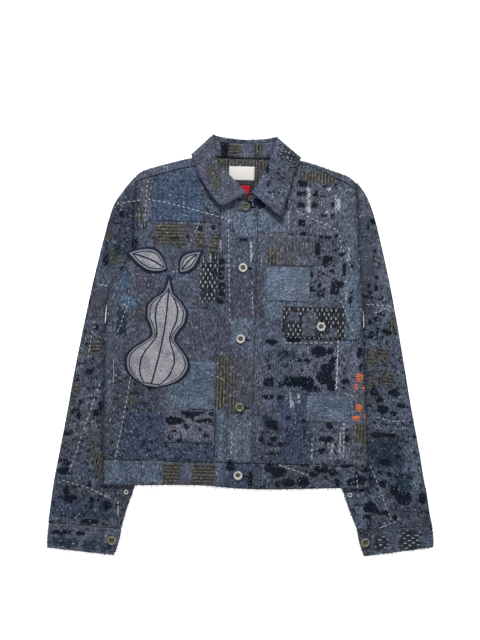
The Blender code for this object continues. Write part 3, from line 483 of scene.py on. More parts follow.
class Nodes:
    # adds nodes to a material and joins them up

    def __init__(self, name):
        self.material = bpy.data.materials.new(name)
        self.material.use_nodes = True
        self.tree = self.material.node_tree
        self.shader = self.tree.nodes["Principled BSDF"]

    def add(self, kind, inputs=(), **settings):
        node = self.tree.nodes.new(kind)
        for key, value in settings.items():
            setattr(node, key, value)
        for key, value in dict(inputs).items():
            self.put(node.inputs[key], value)
        return node

    def put(self, socket, value):
        if isinstance(value, bpy.types.NodeSocket):
            self.tree.links.new(value, socket)
        else:
            socket.default_value = value

    def math(self, operation, a, b=0.0):
        return self.add("ShaderNodeMath", {0: a, 1: b}, operation=operation).outputs[0]

    def times(self, a, b):
        return self.math("MULTIPLY", a, b)

    def plus(self, a, b):
        return self.math("ADD", a, b)

    def vector(self, operation, a, b):
        return self.add("ShaderNodeVectorMath", {0: a, 1: b}, operation=operation).outputs[0]

    def join(self, x, y, z=0.0):
        return self.add("ShaderNodeCombineXYZ", {0: x, 1: y, 2: z}).outputs[0]

    def split(self, value):
        return self.add("ShaderNodeSeparateXYZ", {0: value}).outputs[:3]

    def inMillimetres(self, places):
        return self.add("ShaderNodeMapping", {"Vector": places, "Scale": (1000, 1000, 1000)}).outputs[0]

    def attribute(self, name, output):
        node = self.add("ShaderNodeAttribute", attribute_name=name, attribute_type="GEOMETRY")
        return node.outputs[output]

    def noise(self, places, scale, detail=2.0, output=0, **inputs):
        inputs = {"Vector": places, "Scale": float(scale), "Detail": detail, **inputs}
        return self.add("ShaderNodeTexNoise", inputs).outputs[output]

    def scatter(self, spot):
        return self.add("ShaderNodeTexWhiteNoise", {"Vector": spot}).outputs[0]

    def blend(self, share, a, b, how="MIX"):
        node = self.add("ShaderNodeMix", data_type="RGBA", blend_type=how)
        for index, value in ((0, share), (6, a), (7, b)):
            if index and not isinstance(value, bpy.types.NodeSocket):
                value = (*value, 1.0)
            self.put(node.inputs[index], value)
        return node.outputs[2]

    def ramp(self, value, low, high, start=0.0, end=1.0):
        return self.add("ShaderNodeMapRange", {0: value, 1: low, 2: high, 3: start, 4: end},
                        interpolation_type="SMOOTHSTEP").outputs[0]

    def bars(self, along, pitch, width, soft=0.22):
        # 1 on bars this wide, one every pitch
        phase = self.math("FRACT", self.math("DIVIDE", along, pitch))
        off = self.math("ABSOLUTE", self.math("SUBTRACT", phase, 0.5))
        edge = width / pitch / 2
        return self.ramp(off, edge * (1 + soft), edge * (1 - soft))

    def dashes(self, x, y, across, up, wide, long):
        # upright dashes in columns, every other column half a step higher; and a value for each
        column = self.math("FLOOR", self.math("DIVIDE", x, across))
        raised = self.plus(y, self.times(self.math("MODULO", self.math("ABSOLUTE", column), 2.0), up / 2))
        row = self.math("FLOOR", self.math("DIVIDE", raised, up))
        value = self.scatter(self.join(column, row, across))
        return self.times(self.bars(x, across, wide), self.bars(raised, up, long)), value

    def finish(self, colour, rough, shine, height, strength, deep):
        bump = self.add("ShaderNodeBump", {"Height": height, "Strength": strength, "Distance": deep})
        for name, value in (("Base Color", colour), ("Roughness", rough), ("Specular IOR Level", shine),
                            ("Normal", bump.outputs[0])):
            self.put(self.shader.inputs[name], value)
        return self.material


def clothMaterial(name):
    look = {**plainCloth, **cloths[name]}
    n = Nodes(name)
    threads = n.inMillimetres(n.add("ShaderNodeUVMap", uv_map="clothUV").outputs[0])
    drift = n.vector("SUBTRACT", n.noise(threads, 0.16, output=1), (0.5, 0.5, 0.5))
    drift = n.add("ShaderNodeVectorMath", {0: drift, 3: 0.9}, operation="SCALE").outputs[0]
    spot = n.vector("ADD", threads, drift)
    x, y = n.split(spot)[:2]
    warp, weft, dotted = n.split(n.attribute("weave", 1))
    inked, snowed, flecked = n.split(n.attribute("marks", 1))

    # slubby yarn, as coarse as the quilting
    stretched = n.vector("MULTIPLY", spot, look["run"])
    grain = n.noise(stretched, 0.34, 3.0, Roughness=0.7)
    cloudy = n.noise(spot, 0.06, 3.0)
    pick = n.scatter(n.join(*(n.math("FLOOR", n.math("DIVIDE", along, size))
                              for along, size in zip((x, y), look["pick"]))))
    specks = n.noise(stretched, 0.21, output=1, Roughness=0.6, Distortion=0.6)
    darkSpecks, paleSpecks, blue = n.split(specks)
    contrast = n.ramp(grain, 0.36, 0.64, look["low"], look["high"])
    contrast = n.times(contrast, n.ramp(cloudy, 0.3, 0.7, 0.80, 1.22))
    contrast = n.times(contrast, n.ramp(pick, 0.0, 1.0, 1.0 - look["picked"], 1.0 + look["picked"]))
    colour = n.blend(1.0, n.attribute("dye", 0), n.join(contrast, contrast, contrast), "MULTIPLY")
    worn = n.times(n.ramp(darkSpecks, 0.56, 0.66), 0.62 * look["specks"])
    colour = n.blend(worn, colour, (0.016, 0.020, 0.034))
    lit = n.times(n.ramp(paleSpecks, 0.62, 0.70), 0.3 * look["specks"])
    colour = n.blend(lit, colour, n.blend(1.0, colour, (2.0, 1.95, 1.85), "MULTIPLY"))

    # running stitches that hold the layers, some dark and some pale
    stitch, value = n.dashes(x, y, look["across"], look["up"], 1.6, 3.6)
    dark = n.times(stitch, n.ramp(value, 0.35, 0.6))
    pale = n.times(stitch, n.ramp(value, 0.30, 0.1))
    colour = n.blend(n.times(dark, look["dark"]), colour, (0.020, 0.025, 0.042))
    colour = n.blend(n.times(pale, look["pale"]), colour, (0.22, 0.235, 0.29))

    # olive stripes up and across, with dark between them
    for share, along in ((warp, x), (weft, y)):
        olive = n.blend(n.ramp(grain, 0.35, 0.65), *look["olive"])
        ground = n.blend(1.0, colour, (0.50, 0.53, 0.62), "MULTIPLY")
        striped = n.blend(n.bars(along, 6.2, 2.6), ground, olive)
        colour = n.blend(n.times(share, 0.92), colour, striped)

    # ink blots and white darns, cut out with ragged edges
    picked = n.math("SUBTRACT", pick, 0.5)
    ragged = n.plus(n.math("SUBTRACT", grain, 0.5), n.times(picked, 0.5))
    blots = n.plus(n.noise(spot, 0.10, 3.0, Roughness=0.7), n.times(picked, 0.16))
    blots = n.times(n.ramp(blots, 0.575, 0.60), n.ramp(flecked, 0.3, 0.6))
    ink = n.math("MAXIMUM", n.ramp(n.plus(inked, ragged), 0.46, 0.54), blots)
    inkColour = n.blend(n.ramp(blue, 0.5, 0.7), (0.003, 0.006, 0.013), (0.009, 0.015, 0.031))
    colour = n.blend(n.times(ink, 0.95), colour, inkColour)
    snow = n.ramp(n.plus(snowed, n.times(ragged, 1.6)), 0.46, 0.58)
    colour = n.blend(n.times(snow, 0.85), colour, (0.40, 0.45, 0.51))

    # white running stitches on the dark cloths
    bright, value = n.dashes(x, y, 4.4, 15.5, 1.8, 4.9)
    bright = n.times(bright, dotted)
    colour = n.blend(n.times(bright, n.ramp(value, 0.15, 0.35)), colour, (0.40, 0.42, 0.46))
    relief = n.plus(n.times(grain, 0.9), n.times(stitch, -0.5))
    relief = n.plus(relief, n.times(bright, 0.6))
    n.shader.inputs["Sheen Weight"].default_value = 0.02
    n.shader.inputs["Sheen Roughness"].default_value = 0.5
    return n.finish(colour, 0.93, 0.08, relief, 0.6, 0.0010)


materials = {}
clothPieces, chartOf = [], {}


def materialOf(name):
    if name not in materials:
        materials[name] = clothMaterial(name) if name in cloths else plainMaterial(name)
    return materials[name]


def newObject(name, data):
    thing = bpy.data.objects.new(name, data)
    bpy.context.scene.collection.objects.link(thing)
    return thing


def meshOf(name, built):
    mesh = bpy.data.meshes.new(name)
    built.to_mesh(mesh)
    built.free()
    return mesh


def thicken(piece, wall, evenWall=False):
    # puts the wall below the top that the piece's mesh gives
    solidify = piece.modifiers.new("wall", "SOLIDIFY")
    solidify.thickness, solidify.offset, solidify.use_even_offset = wall * mm, -1.0, evenWall


def addPiece(name, mesh, material, slot, node=None):
    piece = newObject(name, mesh)
    mesh.materials.append(material)
    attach(piece, "root")
    if node:
        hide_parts(node)
    return piece


def cloth(name, columns, rows, point, wall, look="slateCloth", slot=None, node=None, cut=None, chart=(),
          base="slate", up=(0.5, 0.5), weld=False, creased=True, ragged=0.0, weaveAt=None,
          tone=patchwork["tone"], evenWall=True, crumpled=1.0):
    # a grid laid at point(u, v), which gives the top of the cloth, with its wall below
    grid = bmesh.new()
    bmesh.ops.create_grid(grid, x_segments=columns, y_segments=rows, size=0.5)
    where = {v.index: (v.co.x + 0.5, v.co.y + 0.5) for v in grid.verts}
    grid.verts.ensure_lookup_table()
    spots = np.array([point(*where[i]) for i in range(len(grid.verts))])
    if creased:
        lift = spots[:, 3] if spots.shape[1] > 3 else 1.0
        spots[:, 2] += (creaseRise(spots[:, 0], spots[:, 1])
                        + crumpled * slub(spots[:, 0], spots[:, 1])) * lift
    uvLayer = grid.loops.layers.uv.new("clothUV")
    woven = [weaveAt(*where[i]) if weaveAt else spots[i, :2] for i in range(len(spots))]
    for face in grid.faces:
        for loop in face.loops:
            loop[uvLayer].uv = [at * mm for at in woven[loop.vert.index]]
    if cut:
        middles = {f: [sum(where[v.index][i] for v in f.verts) / 4.0 for i in (0, 1)] for f in grid.faces}
        leftOut = [f for f, middle in middles.items() if cut(*middle)]
    nearest = min(grid.faces, key=lambda f: math.dist(where[f.verts[0].index], up))
    layers = {kind: grid.verts.layers.float_color.new(kind) for kind in ("dye", "weave", "marks")}
    dyed = dict(zip(layers, dyeCloth(spots[:, :2], chart, base, tone)))
    for vert in grid.verts:
        i = vert.index
        x, y, z = spots[i, :3]
        if ragged and vert.is_boundary:
            x += ragged * noise.noise(Vector((x / 3.1, y / 3.1, 5.5)))
            y += ragged * noise.noise(Vector((x / 3.1, y / 3.1, 8.5)))
        vert.co = place(x, y, z)
        for kind, layer in layers.items():
            vert[layer] = (*dyed[kind][i], 1.0)
    nearest.normal_update()
    if nearest.normal.z < 0.0:
        bmesh.ops.reverse_faces(grid, faces=grid.faces[:])
    if cut:
        bmesh.ops.delete(grid, geom=leftOut, context="FACES")
    if weld:
        bmesh.ops.remove_doubles(grid, verts=grid.verts[:], dist=0.02 * mm)
    mesh = meshOf(name, grid)
    mesh.shade_smooth()
    piece = addPiece(name, mesh, materialOf(look), slot or snake(look), node or snake(name))
    thicken(piece, wall, evenWall)
    area = sum(face.area for face in mesh.polygons)
    print(f"{name}: {len(mesh.polygons)} faces, {area:.4f} m2")
    clothPieces.append(piece)
    chartOf[name] = chart
    return piece


def frontPoint(hand):
    inner = body["overBand"][1] + body["seam"] if hand == "left" else body["underBand"][0] - body["seam"]
    low = body["waist"] + body["seam"]

    def at(u, v):
        x = mix(inner, sideLine[hand](mix(low, 300.0, v)), u)
        for _ in range(3):
            y = mix(low, frontTopLine[hand](x), v)
            x = mix(inner, sideLine[hand](y), u)
        return x, y, frontTop(x, y, hand) - seamDip(min(abs(x - inner), y - low))
    return at


cloth("frontRight", 84, 214, frontPoint("right"), body["wall"], chart=rightFrontChart)
cloth("frontLeft", 78, 214, frontPoint("left"), body["wall"], chart=leftFrontChart)


def bandPoint(start, end, topOf):
    def at(u, v):
        x = mix(start, end, u)
        y = mix(body["waist"] + body["seam"], bandTopLine(x), v)
        edge = min(x - start, end - x, y - body["waist"])
        return x, y, topOf(x, y) - seamDip(edge, 1.0, 2.2)
    return at


cloth("bandRight", 30, 206, bandPoint(*body["underBand"], lambda x, y: frontLow(x, y) + body["bandWall"]),
      body["bandWall"], chart=underBandChart)
cloth("bandLeft", 24, 206, bandPoint(*body["overBand"], bandTop), body["bandWall"], chart=overBandChart)


def waistbandPoint(hand, end):
    def at(u, v):
        x = mix(sideLine[hand](mix(body["hemMiddle"], body["waist"], v)), end, u)
        y = mix(hemLine(x), body["waist"] - body["seam"], v)
        z = frontLow(x, y) + body["bandWall"] + (lapRise(x) if hand == "left" else 0.0)
        edge = min(body["waist"] - y, y - hemLine(x))
        return x, y, z - seamDip(edge, 0.9, 3.0)
    return at


waistChart = [item for item in rightFrontChart + leftFrontChart if item[2] <= body["waist"]]
cloth("waistbandRight", 118, 20, waistbandPoint("right", body["underBand"][1]), body["bandWall"],
      chart=waistChart + underBandChart)
cloth("waistbandLeft", 110, 20, waistbandPoint("left", body["overBand"][0]), body["bandWall"],
      chart=waistChart + overBandChart)


def waistbandBackPoint(u, v):
    level = mix(body["hemMiddle"], body["waist"], v)
    x = mix(sideLine["right"](level), sideLine["left"](level), u)
    y = mix(hemLine(x), body["waist"] - body["seam"], v)
    return x, y, backLow(x, y) + body["bandWall"]


cloth("waistbandBack", 120, 12, waistbandBackPoint, body["bandWall"], creased=False)

# the back goes up the floor, round the shoulder and over to the front's seam: its rows on each
# stretch, and the share of its width that the neck takes
backCut = {"columns": 160, "rise": 150, "fold": 8, "over": 6, "neckShare": 0.4, "gap": 1.1,
           "level": 300.0}
backRows = backCut["rise"] + backCut["fold"] + backCut["over"]


def backX(across, y):
    half, sign = abs(across), 1.0 if across > 0 else -1.0
    if half <= backCut["neckShare"]:
        return sign * body["neckHalf"] * half / backCut["neckShare"]
    edge = abs(sideLine["left" if across > 0 else "right"](y))
    return sign * mix(body["neckHalf"], edge, (half - backCut["neckShare"]) / (1.0 - backCut["neckShare"]))


def backPoint(u, v):
    across = 2.0 * u - 1.0
    hand = handOf(across)
    row = round(v * backRows)
    ridgeX = backX(across, backCut["level"])
    ridge = ridgeLine[hand](ridgeX)
    seamY = frontTopLine[hand](ridgeX) + backCut["gap"]
    seamTop = frontLow(ridgeX, seamY) + body["wall"]
    low = backLow(ridgeX, ridge)
    radius = (seamTop - low) / 2.0
    inNeck = abs(across) < backCut["neckShare"] - 0.001
    start = neckSeamLine(ridgeX) if inNeck else ridge - radius
    if row <= backCut["rise"]:
        y = mix(body["waist"] + body["seam"], start, row / backCut["rise"])
        x = backX(across, y)
        return x, y, backLow(x, y), 0.0
    turn = (row - backCut["rise"]) / backCut["fold"]
    if turn <= 1.0:
        angle = math.pi * turn
        return (ridgeX, ridge - radius * (1.0 - math.sin(angle)), low + radius * (1.0 - math.cos(angle)),
                turn)
    y = mix(ridge - radius, seamY, (row - backCut["rise"] - backCut["fold"]) / backCut["over"])
    x = backX(across, y)
    return x, y, frontLow(x, y) + body["wall"] - seamDip(y - seamY), 1.0


cloth("backPanel", backCut["columns"], backRows, backPoint, body["wall"], "innerCloth", "slate_cloth",
      "back", up=(0.9, 0.995), chart=backChart,
      cut=lambda u, v: abs(2.0 * u - 1.0) < backCut["neckShare"] and v > backCut["rise"] / backRows)


# sleeves and cuffs are flattened tubes, out over the front layer and back under it
sleeveCut = {"around": 96, "along": 110, "cuffRows": 20, "long": 420.0, "bow": 4.0 / 13.0,
             "edgeGap": 0.5, "headGap": 1.6, "head": 0.3, "headSpread": 6.0, "foldSoft": 16.0,
             "tuckedUnder": 0.012, "tuckIn": 3.5, "tuckDown": 2.4, "crumpled": 1.6}


def tubePoint(rings, hand, topOf, isSleeve):
    first = rings[0]

    def at(u, v):
        t = v * (len(rings) - 1)
        innerX, innerY, outerX, outerY = alongRows(rings, t)
        share = (1.0 - math.cos(2.0 * math.pi * u)) / 2.0
        x, y = mix(innerX, outerX, share), mix(innerY, outerY, share)
        if isSleeve:
            armY = armholeLine(2 * (len(body["armholeLevels"]) - 1) * min(u, 1.0 - u))
            bow = max(0.0, 1.0 - v / sleeveCut["bow"]) ** 2
            x += (sideLine[hand](armY) - mix(first[0], first[2], share)) * bow
            y += (armY - mix(first[1], first[3], share)) * bow
            gap = sleeveCut["edgeGap"] + sleeveCut["headGap"] * share ** 4
            x += gap if hand == "left" else -gap
            if v < sleeveCut["head"]:
                clear = abs(sideLine[hand](y)) + gap + sleeveCut["headSpread"] * v
                x = math.copysign(max(abs(x), clear), x)
        top = topOf(x, y)
        fromFold = min(share, 1.0 - share) * math.hypot(outerX - innerX, outerY - innerY)
        inset = max(0.0, 1.0 - fromFold / (top / 2.0))
        height = math.sqrt(1.0 - inset * inset)
        if u > 0.5:
            height = -height
        z = top / 2.0 * (1.0 + height)
        lift = 0.0
        if height > 0:
            lift = height * ease(fromFold / sleeveCut["foldSoft"])
            if isSleeve:
                outside = max(abs(x) - abs(sideLine[hand](y)), hemLine(x) - y)
                lift *= mix(ease((outside - 2.0) / 12.0), 1.0, between((90.0, 140.0), y))
                lift *= min(1.0, v / 0.02)
                under = max(0.0, 1.0 - v / sleeveCut["tuckedUnder"])
                x -= math.copysign(sleeveCut["tuckIn"] * under, x)
                z -= sleeveCut["tuckDown"] * under + seamDip(v * sleeveCut["long"])
        return x, y, z, lift
    return at


def alongTube(rings, hand):
    # the cloth's own grain: across the tube and down it
    lengths = [0.0]
    for a, b in zip(rings, rings[1:]):
        stepX, stepY = (b[0] + b[2] - a[0] - a[2]) / 2, (b[1] + b[3] - a[1] - a[3]) / 2
        lengths.append(lengths[-1] + math.hypot(stepX, stepY))

    def at(u, v):
        t = v * (len(rings) - 1)
        i = min(len(rings) - 2, int(t))
        ring = alongRows(rings, t)
        share = (1.0 - math.cos(2.0 * math.pi * u)) / 2.0
        across = (share - 0.5) * math.hypot(ring[2] - ring[0], ring[3] - ring[1])
        across = across if hand == "left" else -across
        if u > 0.5:
            across = sleeveCut["long"] - across
        return across, -mix(lengths[i], lengths[i + 1], t - i)
    return at


def roundTube(rings, hand):
    # the same with the grain running round, as a cuff is cut
    grainAt = alongTube(rings, hand)
    return lambda u, v: grainAt(u, v)[::-1]


def settle(piece):
    # makes the wall real and lifts what of it dips below the floor
    shaped = bpy.data.meshes.new_from_object(piece.evaluated_get(bpy.context.evaluated_depsgraph_get()))
    piece.modifiers.clear()
    piece.data = shaped
    for vert in shaped.vertices:
        vert.co.z = max(vert.co.z, 0.1 * mm)


def onSleeve(hand):
    return tubePoint(sleeveRings[hand], hand, lambda x, y: sleeveTop(x, y, hand), True)


sleeveCharts = {"right": rightSleeveChart, "left": leftSleeveChart}
for hand, chart in sleeveCharts.items():
    tube = {"weld": True, "evenWall": False, "chart": chart}
    settle(cloth(f"sleeve{hand.title()}", sleeveCut["around"], sleeveCut["along"], onSleeve(hand),
                 body["wall"], up=(0.25, 0.8), weaveAt=alongTube(sleeveRings[hand], hand),
                 crumpled=sleeveCut["crumpled"], **tube))
    cloth(f"cuff{hand.title()}", sleeveCut["around"], sleeveCut["cuffRows"],
          tubePoint(cuffRings[hand], hand, lambda x, y: body["cuff"], False), body["bandWall"],
          up=(0.25, 0.5), weaveAt=roundTube(cuffRings[hand], hand), crumpled=1.2, **tube)

# the collar's sections round the neck from the wearer's right front end to the left one: the neck
# seam, the roll with its height and the stand's top inside it, and the fall's outer edge
collarRows = [
    (1, 272.5, 5, 286, 17.5, 12.6, -33.4, 260.5, 18.5), (-12, 273.5, -6, 297, 18, 13, -46.6, 262, 20),
    (-32, 281, -22, 312, 18, 13, -60, 277, 18), (-47.5, 292.5, -38, 326, 18, 13, -73, 295, 15.4),
    (-61, 307, -50, 336, 18, 13, -85, 314, 13.4), (-71.5, 322.5, -54, 351, 18, 13, -92, 329, 12.6),
    (-79, 338, -57, 370, 18, 13.2, -96.5, 343, 13.2), (-79, 350, -60, 386, 16.5, 12.6, -100, 352, 12),
    (-72, 350.5, -61.5, 393.5, 11.5, 12, -101, 355, 5), (-60, 350, -53, 391, 7, 12, -88, 349, 0.3),
    (-40, 350, -36, 388, 6, 11.4, -55, 337, 0), (0, 349, 0, 385.5, 6, 11, 0, 333, 0),
    (40, 350, 36, 388, 6, 11.4, 55, 337, 0), (60, 350, 51, 390.5, 7, 12, 90, 349, 0.3),
    (72, 350.5, 59.5, 391.5, 11.5, 12, 104, 355, 5), (79, 350, 57, 382, 16.5, 12.6, 104, 352, 12),
    (75, 338, 51, 361, 18, 13.2, 99, 338, 13.2), (70, 324, 43, 341, 18, 13, 92, 318, 12.8),
    (62, 308, 35, 322, 18, 13, 87, 300, 14.4), (53, 295, 27, 306, 18, 13, 80, 276, 17.5),
    (38, 280, 20, 294, 18, 13, 74, 254, 20.5), (16, 272.5, 15, 286, 17.5, 12.6, 70.6, 239.4, 20.5)]
collarCut = {"wall": 2.0, "crown": 1.4, "foldedUnder": (9.0, 17.0), "stand": (0.05, 0.76),
             "onBack": (326.0, 338.0), "columns": 168, "rows": 26, "round": 460.0, "fall": 55.0}


def collarPoint(u, v):
    _, _, rollX, rollY, rollZ, _, outX, outY, outZ = alongRows(collarRows, u * (len(collarRows) - 1))
    over = between(collarCut["foldedUnder"], rollZ)
    crown = collarCut["crown"] * math.sin(math.pi * v) * over
    z = mix(outZ, rollZ, mix((1.0 - v) ** 3, 1.0 - v, over)) + crown
    end = min(u, 1.0 - u) * collarCut["round"]
    edge = min((1.0 - v) * collarCut["fall"], end)
    z -= seamDip(edge, 0.5 * over, 3.0)
    return mix(rollX, outX, v), mix(rollY, outY, v), z, over * 0.5 * ease(end / 20)


def collarWeave(u, v):
    return u * collarCut["round"] + 30.0 * math.sin(9.0 * u), -v * collarCut["fall"]


cloth("collarFall", collarCut["columns"], collarCut["rows"], collarPoint, collarCut["wall"], node="collar",
      up=(0.1, 0.5), evenWall=False, chart=collarChart, weaveAt=collarWeave, crumpled=1.4)


def standPoint(u, v):
    seamX, seamY, rollX, rollY, _, standZ, *_ = alongRows(collarRows, u * (len(collarRows) - 1))
    half = collarCut["wall"] / 2.0
    onBack = body["neckLift"] + body["wall"] + body["seam"]
    seamZ = mix(frontLow(seamX, seamY), onBack, between(collarCut["onBack"], seamY))
    reach = mix(*collarCut["stand"], v)
    return (mix(seamX, rollX, reach), mix(seamY, rollY, reach), mix(seamZ + half, standZ - half, v) + half)


cloth("collarStand", 110, 10, standPoint, collarCut["wall"], "innerCloth", "slate_cloth", creased=False,
      chart=standChart, evenWall=False)
print("cloth made")

# plainer materials: each one's darker and lighter colour, the scale of its speckle, how rough it
# is and, for some, how metallic
finishes = {
    "whiteThread": ((0.42, 0.43, 0.44), (0.80, 0.80, 0.79), 900, 0.85),
    "paleThread": ((0.13, 0.15, 0.20), (0.34, 0.37, 0.43), 500, 0.9),
    # slitShade is near-black: painted shade inside a buttonhole's cut
    "slitShade": ((0.001, 0.001, 0.002), (0.004, 0.005, 0.010), 600, 1.0),
    "darkThread": ((0.008, 0.010, 0.018), (0.030, 0.035, 0.055), 600, 0.9),
    "slateThread": ((0.030, 0.036, 0.055), (0.15, 0.16, 0.21), 160, 0.95),
    "orangeThread": ((0.62, 0.14, 0.05), (0.88, 0.28, 0.12), 500, 0.85),
    "rustThread": ((0.10, 0.055, 0.035), (0.26, 0.16, 0.10), 500, 0.9),
    "creamTape": ((0.60, 0.58, 0.57), (0.78, 0.76, 0.74), 900, 0.75),
    "darkTape": ((0.010, 0.010, 0.014), (0.035, 0.035, 0.045), 900, 0.7),
    "redTape": ((0.36, 0.004, 0.010), (0.55, 0.010, 0.022), 900, 0.7),
    "offWhiteButton": ((0.40, 0.40, 0.385), (0.62, 0.62, 0.61), 240, 0.32),
    "wellDark": ((0.015, 0.014, 0.010), (0.16, 0.15, 0.11), 420, 0.6),
    "wellBrass": ((0.045, 0.036, 0.022), (0.13, 0.11, 0.075), 500, 0.5),
    # shadedBrassButton is a darker copy of the dull brass: painted shade on the neck button, which lies
    # under the collar
    "shadedBrassButton": ((0.045, 0.045, 0.032), (0.17, 0.165, 0.115), 320, 0.5, 0.25),
    "dullBrassButton": ((0.11, 0.105, 0.072), (0.30, 0.29, 0.22), 320, 0.45, 0.25),
}


def plainMaterial(name):
    low, high, scale, rough, *metal = finishes[name]
    n = Nodes(name)
    speckle = n.noise(n.add("ShaderNodeTexCoord").outputs["Object"], scale, 3.0)
    n.shader.inputs["Metallic"].default_value = sum(metal)
    return n.finish(n.blend(n.ramp(speckle, 0.3, 0.7), low, high), rough, 0.5 if rough < 0.65 else 0.15,
                    speckle, 0.4, 0.0003)


# patches sewn on with raw edges
patchCut = {"rise": 1.35, "wall": 0.9, "ragged": 1.5, "cell": 2.4, "sleeveCells": (28, 36)}
# name, left, right, low, high, cloth, dye, chart
frontPatches = [
    ("patchShoulderRight", -163, -75, 229, 300, "lightIndigoCloth", "blue", []),
    ("patchBreastRight", -88, -46, 182, 226, "oliveStripeCloth", "brown", laidOut(
        ("weft", (-90, 182, -70, 208), (-60, 182, -44, 206)),
        ("blot", (-84, 212, -76, 220), (-60, 214, -52, 224)))),
    ("patchDottedRight", -63, -46, 84, 172, "dottedNavyCloth", "charcoal", [("dots", -90, 60, 0, 190)]),
    ("patchMiddleRight", -92, -46, -123, -34, "lightIndigoCloth", "light", []),
    ("patchBrushedRight", -136, -46, -186, -127, "brushedGreyCloth", "grey", laidOut(
        ("navy", (-136, -190, -46, -181)),
        ("blot", (-136, -151, -104, -138), (-104, -139, -74, -123), (-80, -130, -58, -121),
         (-78, -147, -43, -139), (-54, -134, -44, -122), (-101, -160, -93, -152), (-83, -155, -77, -151),
         (-73, -163, -67, -157), (-121, -167, -115, -162), (-131, -179, -121, -171),
         (-112, -185, -104, -177), (-109, -175, -104, -171), (-64, -175, -55, -167)))),
    ("patchBreastLeft", 50, 134, 151, 208, "greyBrownCloth", "brown", laidOut(
        ("warp", (52, 152, 68, 180), (84, 178, 94, 190), (80, 152, 96, 162)))),
    ("patchMiddleLeft", 47, 128, 84, 147, "lightIndigoCloth", "light", [("pale", 80, 84, 128, 120)]),
    ("patchLowLeft", 128, 208, -140, -92, "lightIndigoCloth", "light", [("slate", 128, -140, 150, -120)]),
    ("patchSideLeft", 213, 235, -190, -148, "oliveStripeCloth", "slate", [("warp", 219, -178, 240, -140)])]
for name, left, right, low, high, look, dye, chart in frontPatches:
    def patchPoint(u, v):
        x, y = mix(left, right, u), mix(low, high, v)
        edge = min(x - left, right - x, y - low, high - y)
        return x, y, frontTop(x, y, handOf(left)) + patchCut["rise"] - seamDip(edge, 0.45, 2.4)
    columns, rows = (round(side / patchCut["cell"]) for side in (right - left, high - low))
    cloth(name, columns, rows, patchPoint, patchCut["wall"], look, chart=chart, base=dye,
          ragged=patchCut["ragged"], tone=0.16)

# name, hand, share of the way round the sleeve and, in thirteenths, along it, and the cloth
sleevePatches = [
    ("patchSleeveLeftUpper", "left", (0.30, 0.45), (6, 8), "oliveStripeCloth"),
    ("patchSleeveLeftLower", "left", (0.30, 0.45), (10, 12), "tealNavyCloth"),
    ("patchSleeveRight", "right", (0.30, 0.40), (9, 11), "oliveStripeCloth"),
    ("sleevePlacketLeft", "left", (0.05, 0.15), (11.1, 12.9), "slateCloth"),
    ("sleevePlacketRight", "right", (0.05, 0.15), (11.1, 12.9), "slateCloth")]
for name, hand, around, along, look in sleevePatches:
    below, grainAt = onSleeve(hand), alongTube(sleeveRings[hand], hand)
    along = [ring / (len(sleeveRings[hand]) - 1) for ring in along]

    def sleevePatchPoint(u, v):
        x, y, z, lift = below(mix(*around, u), mix(*along, v))
        edge = min(u, 1 - u, v, 1 - v)
        return x, y, z + patchCut["rise"] - 0.4 * (1.0 - ease(edge * 14)), lift
    cloth(name, *patchCut["sleeveCells"], sleevePatchPoint, patchCut["wall"], look,
          chart=sleeveCharts[hand], ragged=patchCut["ragged"], tone=0.2, evenWall=False,
          crumpled=sleeveCut["crumpled"],
          weaveAt=lambda u, v: grainAt(mix(*around, u), mix(*along, v)))

flap = {"x": (79.0, 226.0), "y": (15.0, 75.0), "corner": 13.0, "wall": 2.0, "rise": 2.45}
flapChart = laidOut(
    ("dots", (60, 0, 240, 90)), ("lilac", (89, 48, 110, 65)), ("mist", (117, 22, 141, 62)),
    ("lilac", (124, 60, 136, 69)), ("mist", (152, 12, 166, 24), (168, 22, 180, 36)),
    ("light", (197, 0, 240, 90)))


def flapPoint(u, v):
    left, right = flap["x"]
    low, high = flap["y"]
    x = mix(left, right, u)
    inset = max(0.0, flap["corner"] - min(x - left, right - x)) / flap["corner"]
    y = mix(low + flap["corner"] * (1.0 - math.sqrt(max(0.0, 1.0 - inset * inset))), high, v)
    edge = min(x - left, right - x, y - low, high - y)
    return x, y, frontTop(x, y, "left") + flap["rise"] - seamDip(edge, 0.8)


cloth("pocketFlap", 66, 26, flapPoint, flap["wall"], "dottedNavyCloth", chart=flapChart, base="charcoal")

# a gourd and two leaves: each one's name, foot and tip, how far its midrib bends, half widths along
# it, cells across and up, and the shares of its width where ribs run
motifs = [
    ("appliqueGourd", (-166, -84), (-136, 128), 8.0, (8, 44, 58, 62, 55, 38, 25, 31, 40, 41, 31, 13, 7, 4),
     (44, 78), (0.25, 0.5, 0.75)),
    ("appliqueLeafUpper", (-140, 138), (-217, 168), 5.0, (2, 14, 21, 24, 22, 17, 10, 2), (18, 36), (0.5,)),
    ("appliqueLeafLower", (-117, 132), (-74, 176), -4.0, (2, 11, 16, 18, 16, 12, 7, 2), (16, 28), (0.5,))]
applique = {"rise": 1.95, "wall": 0.9}


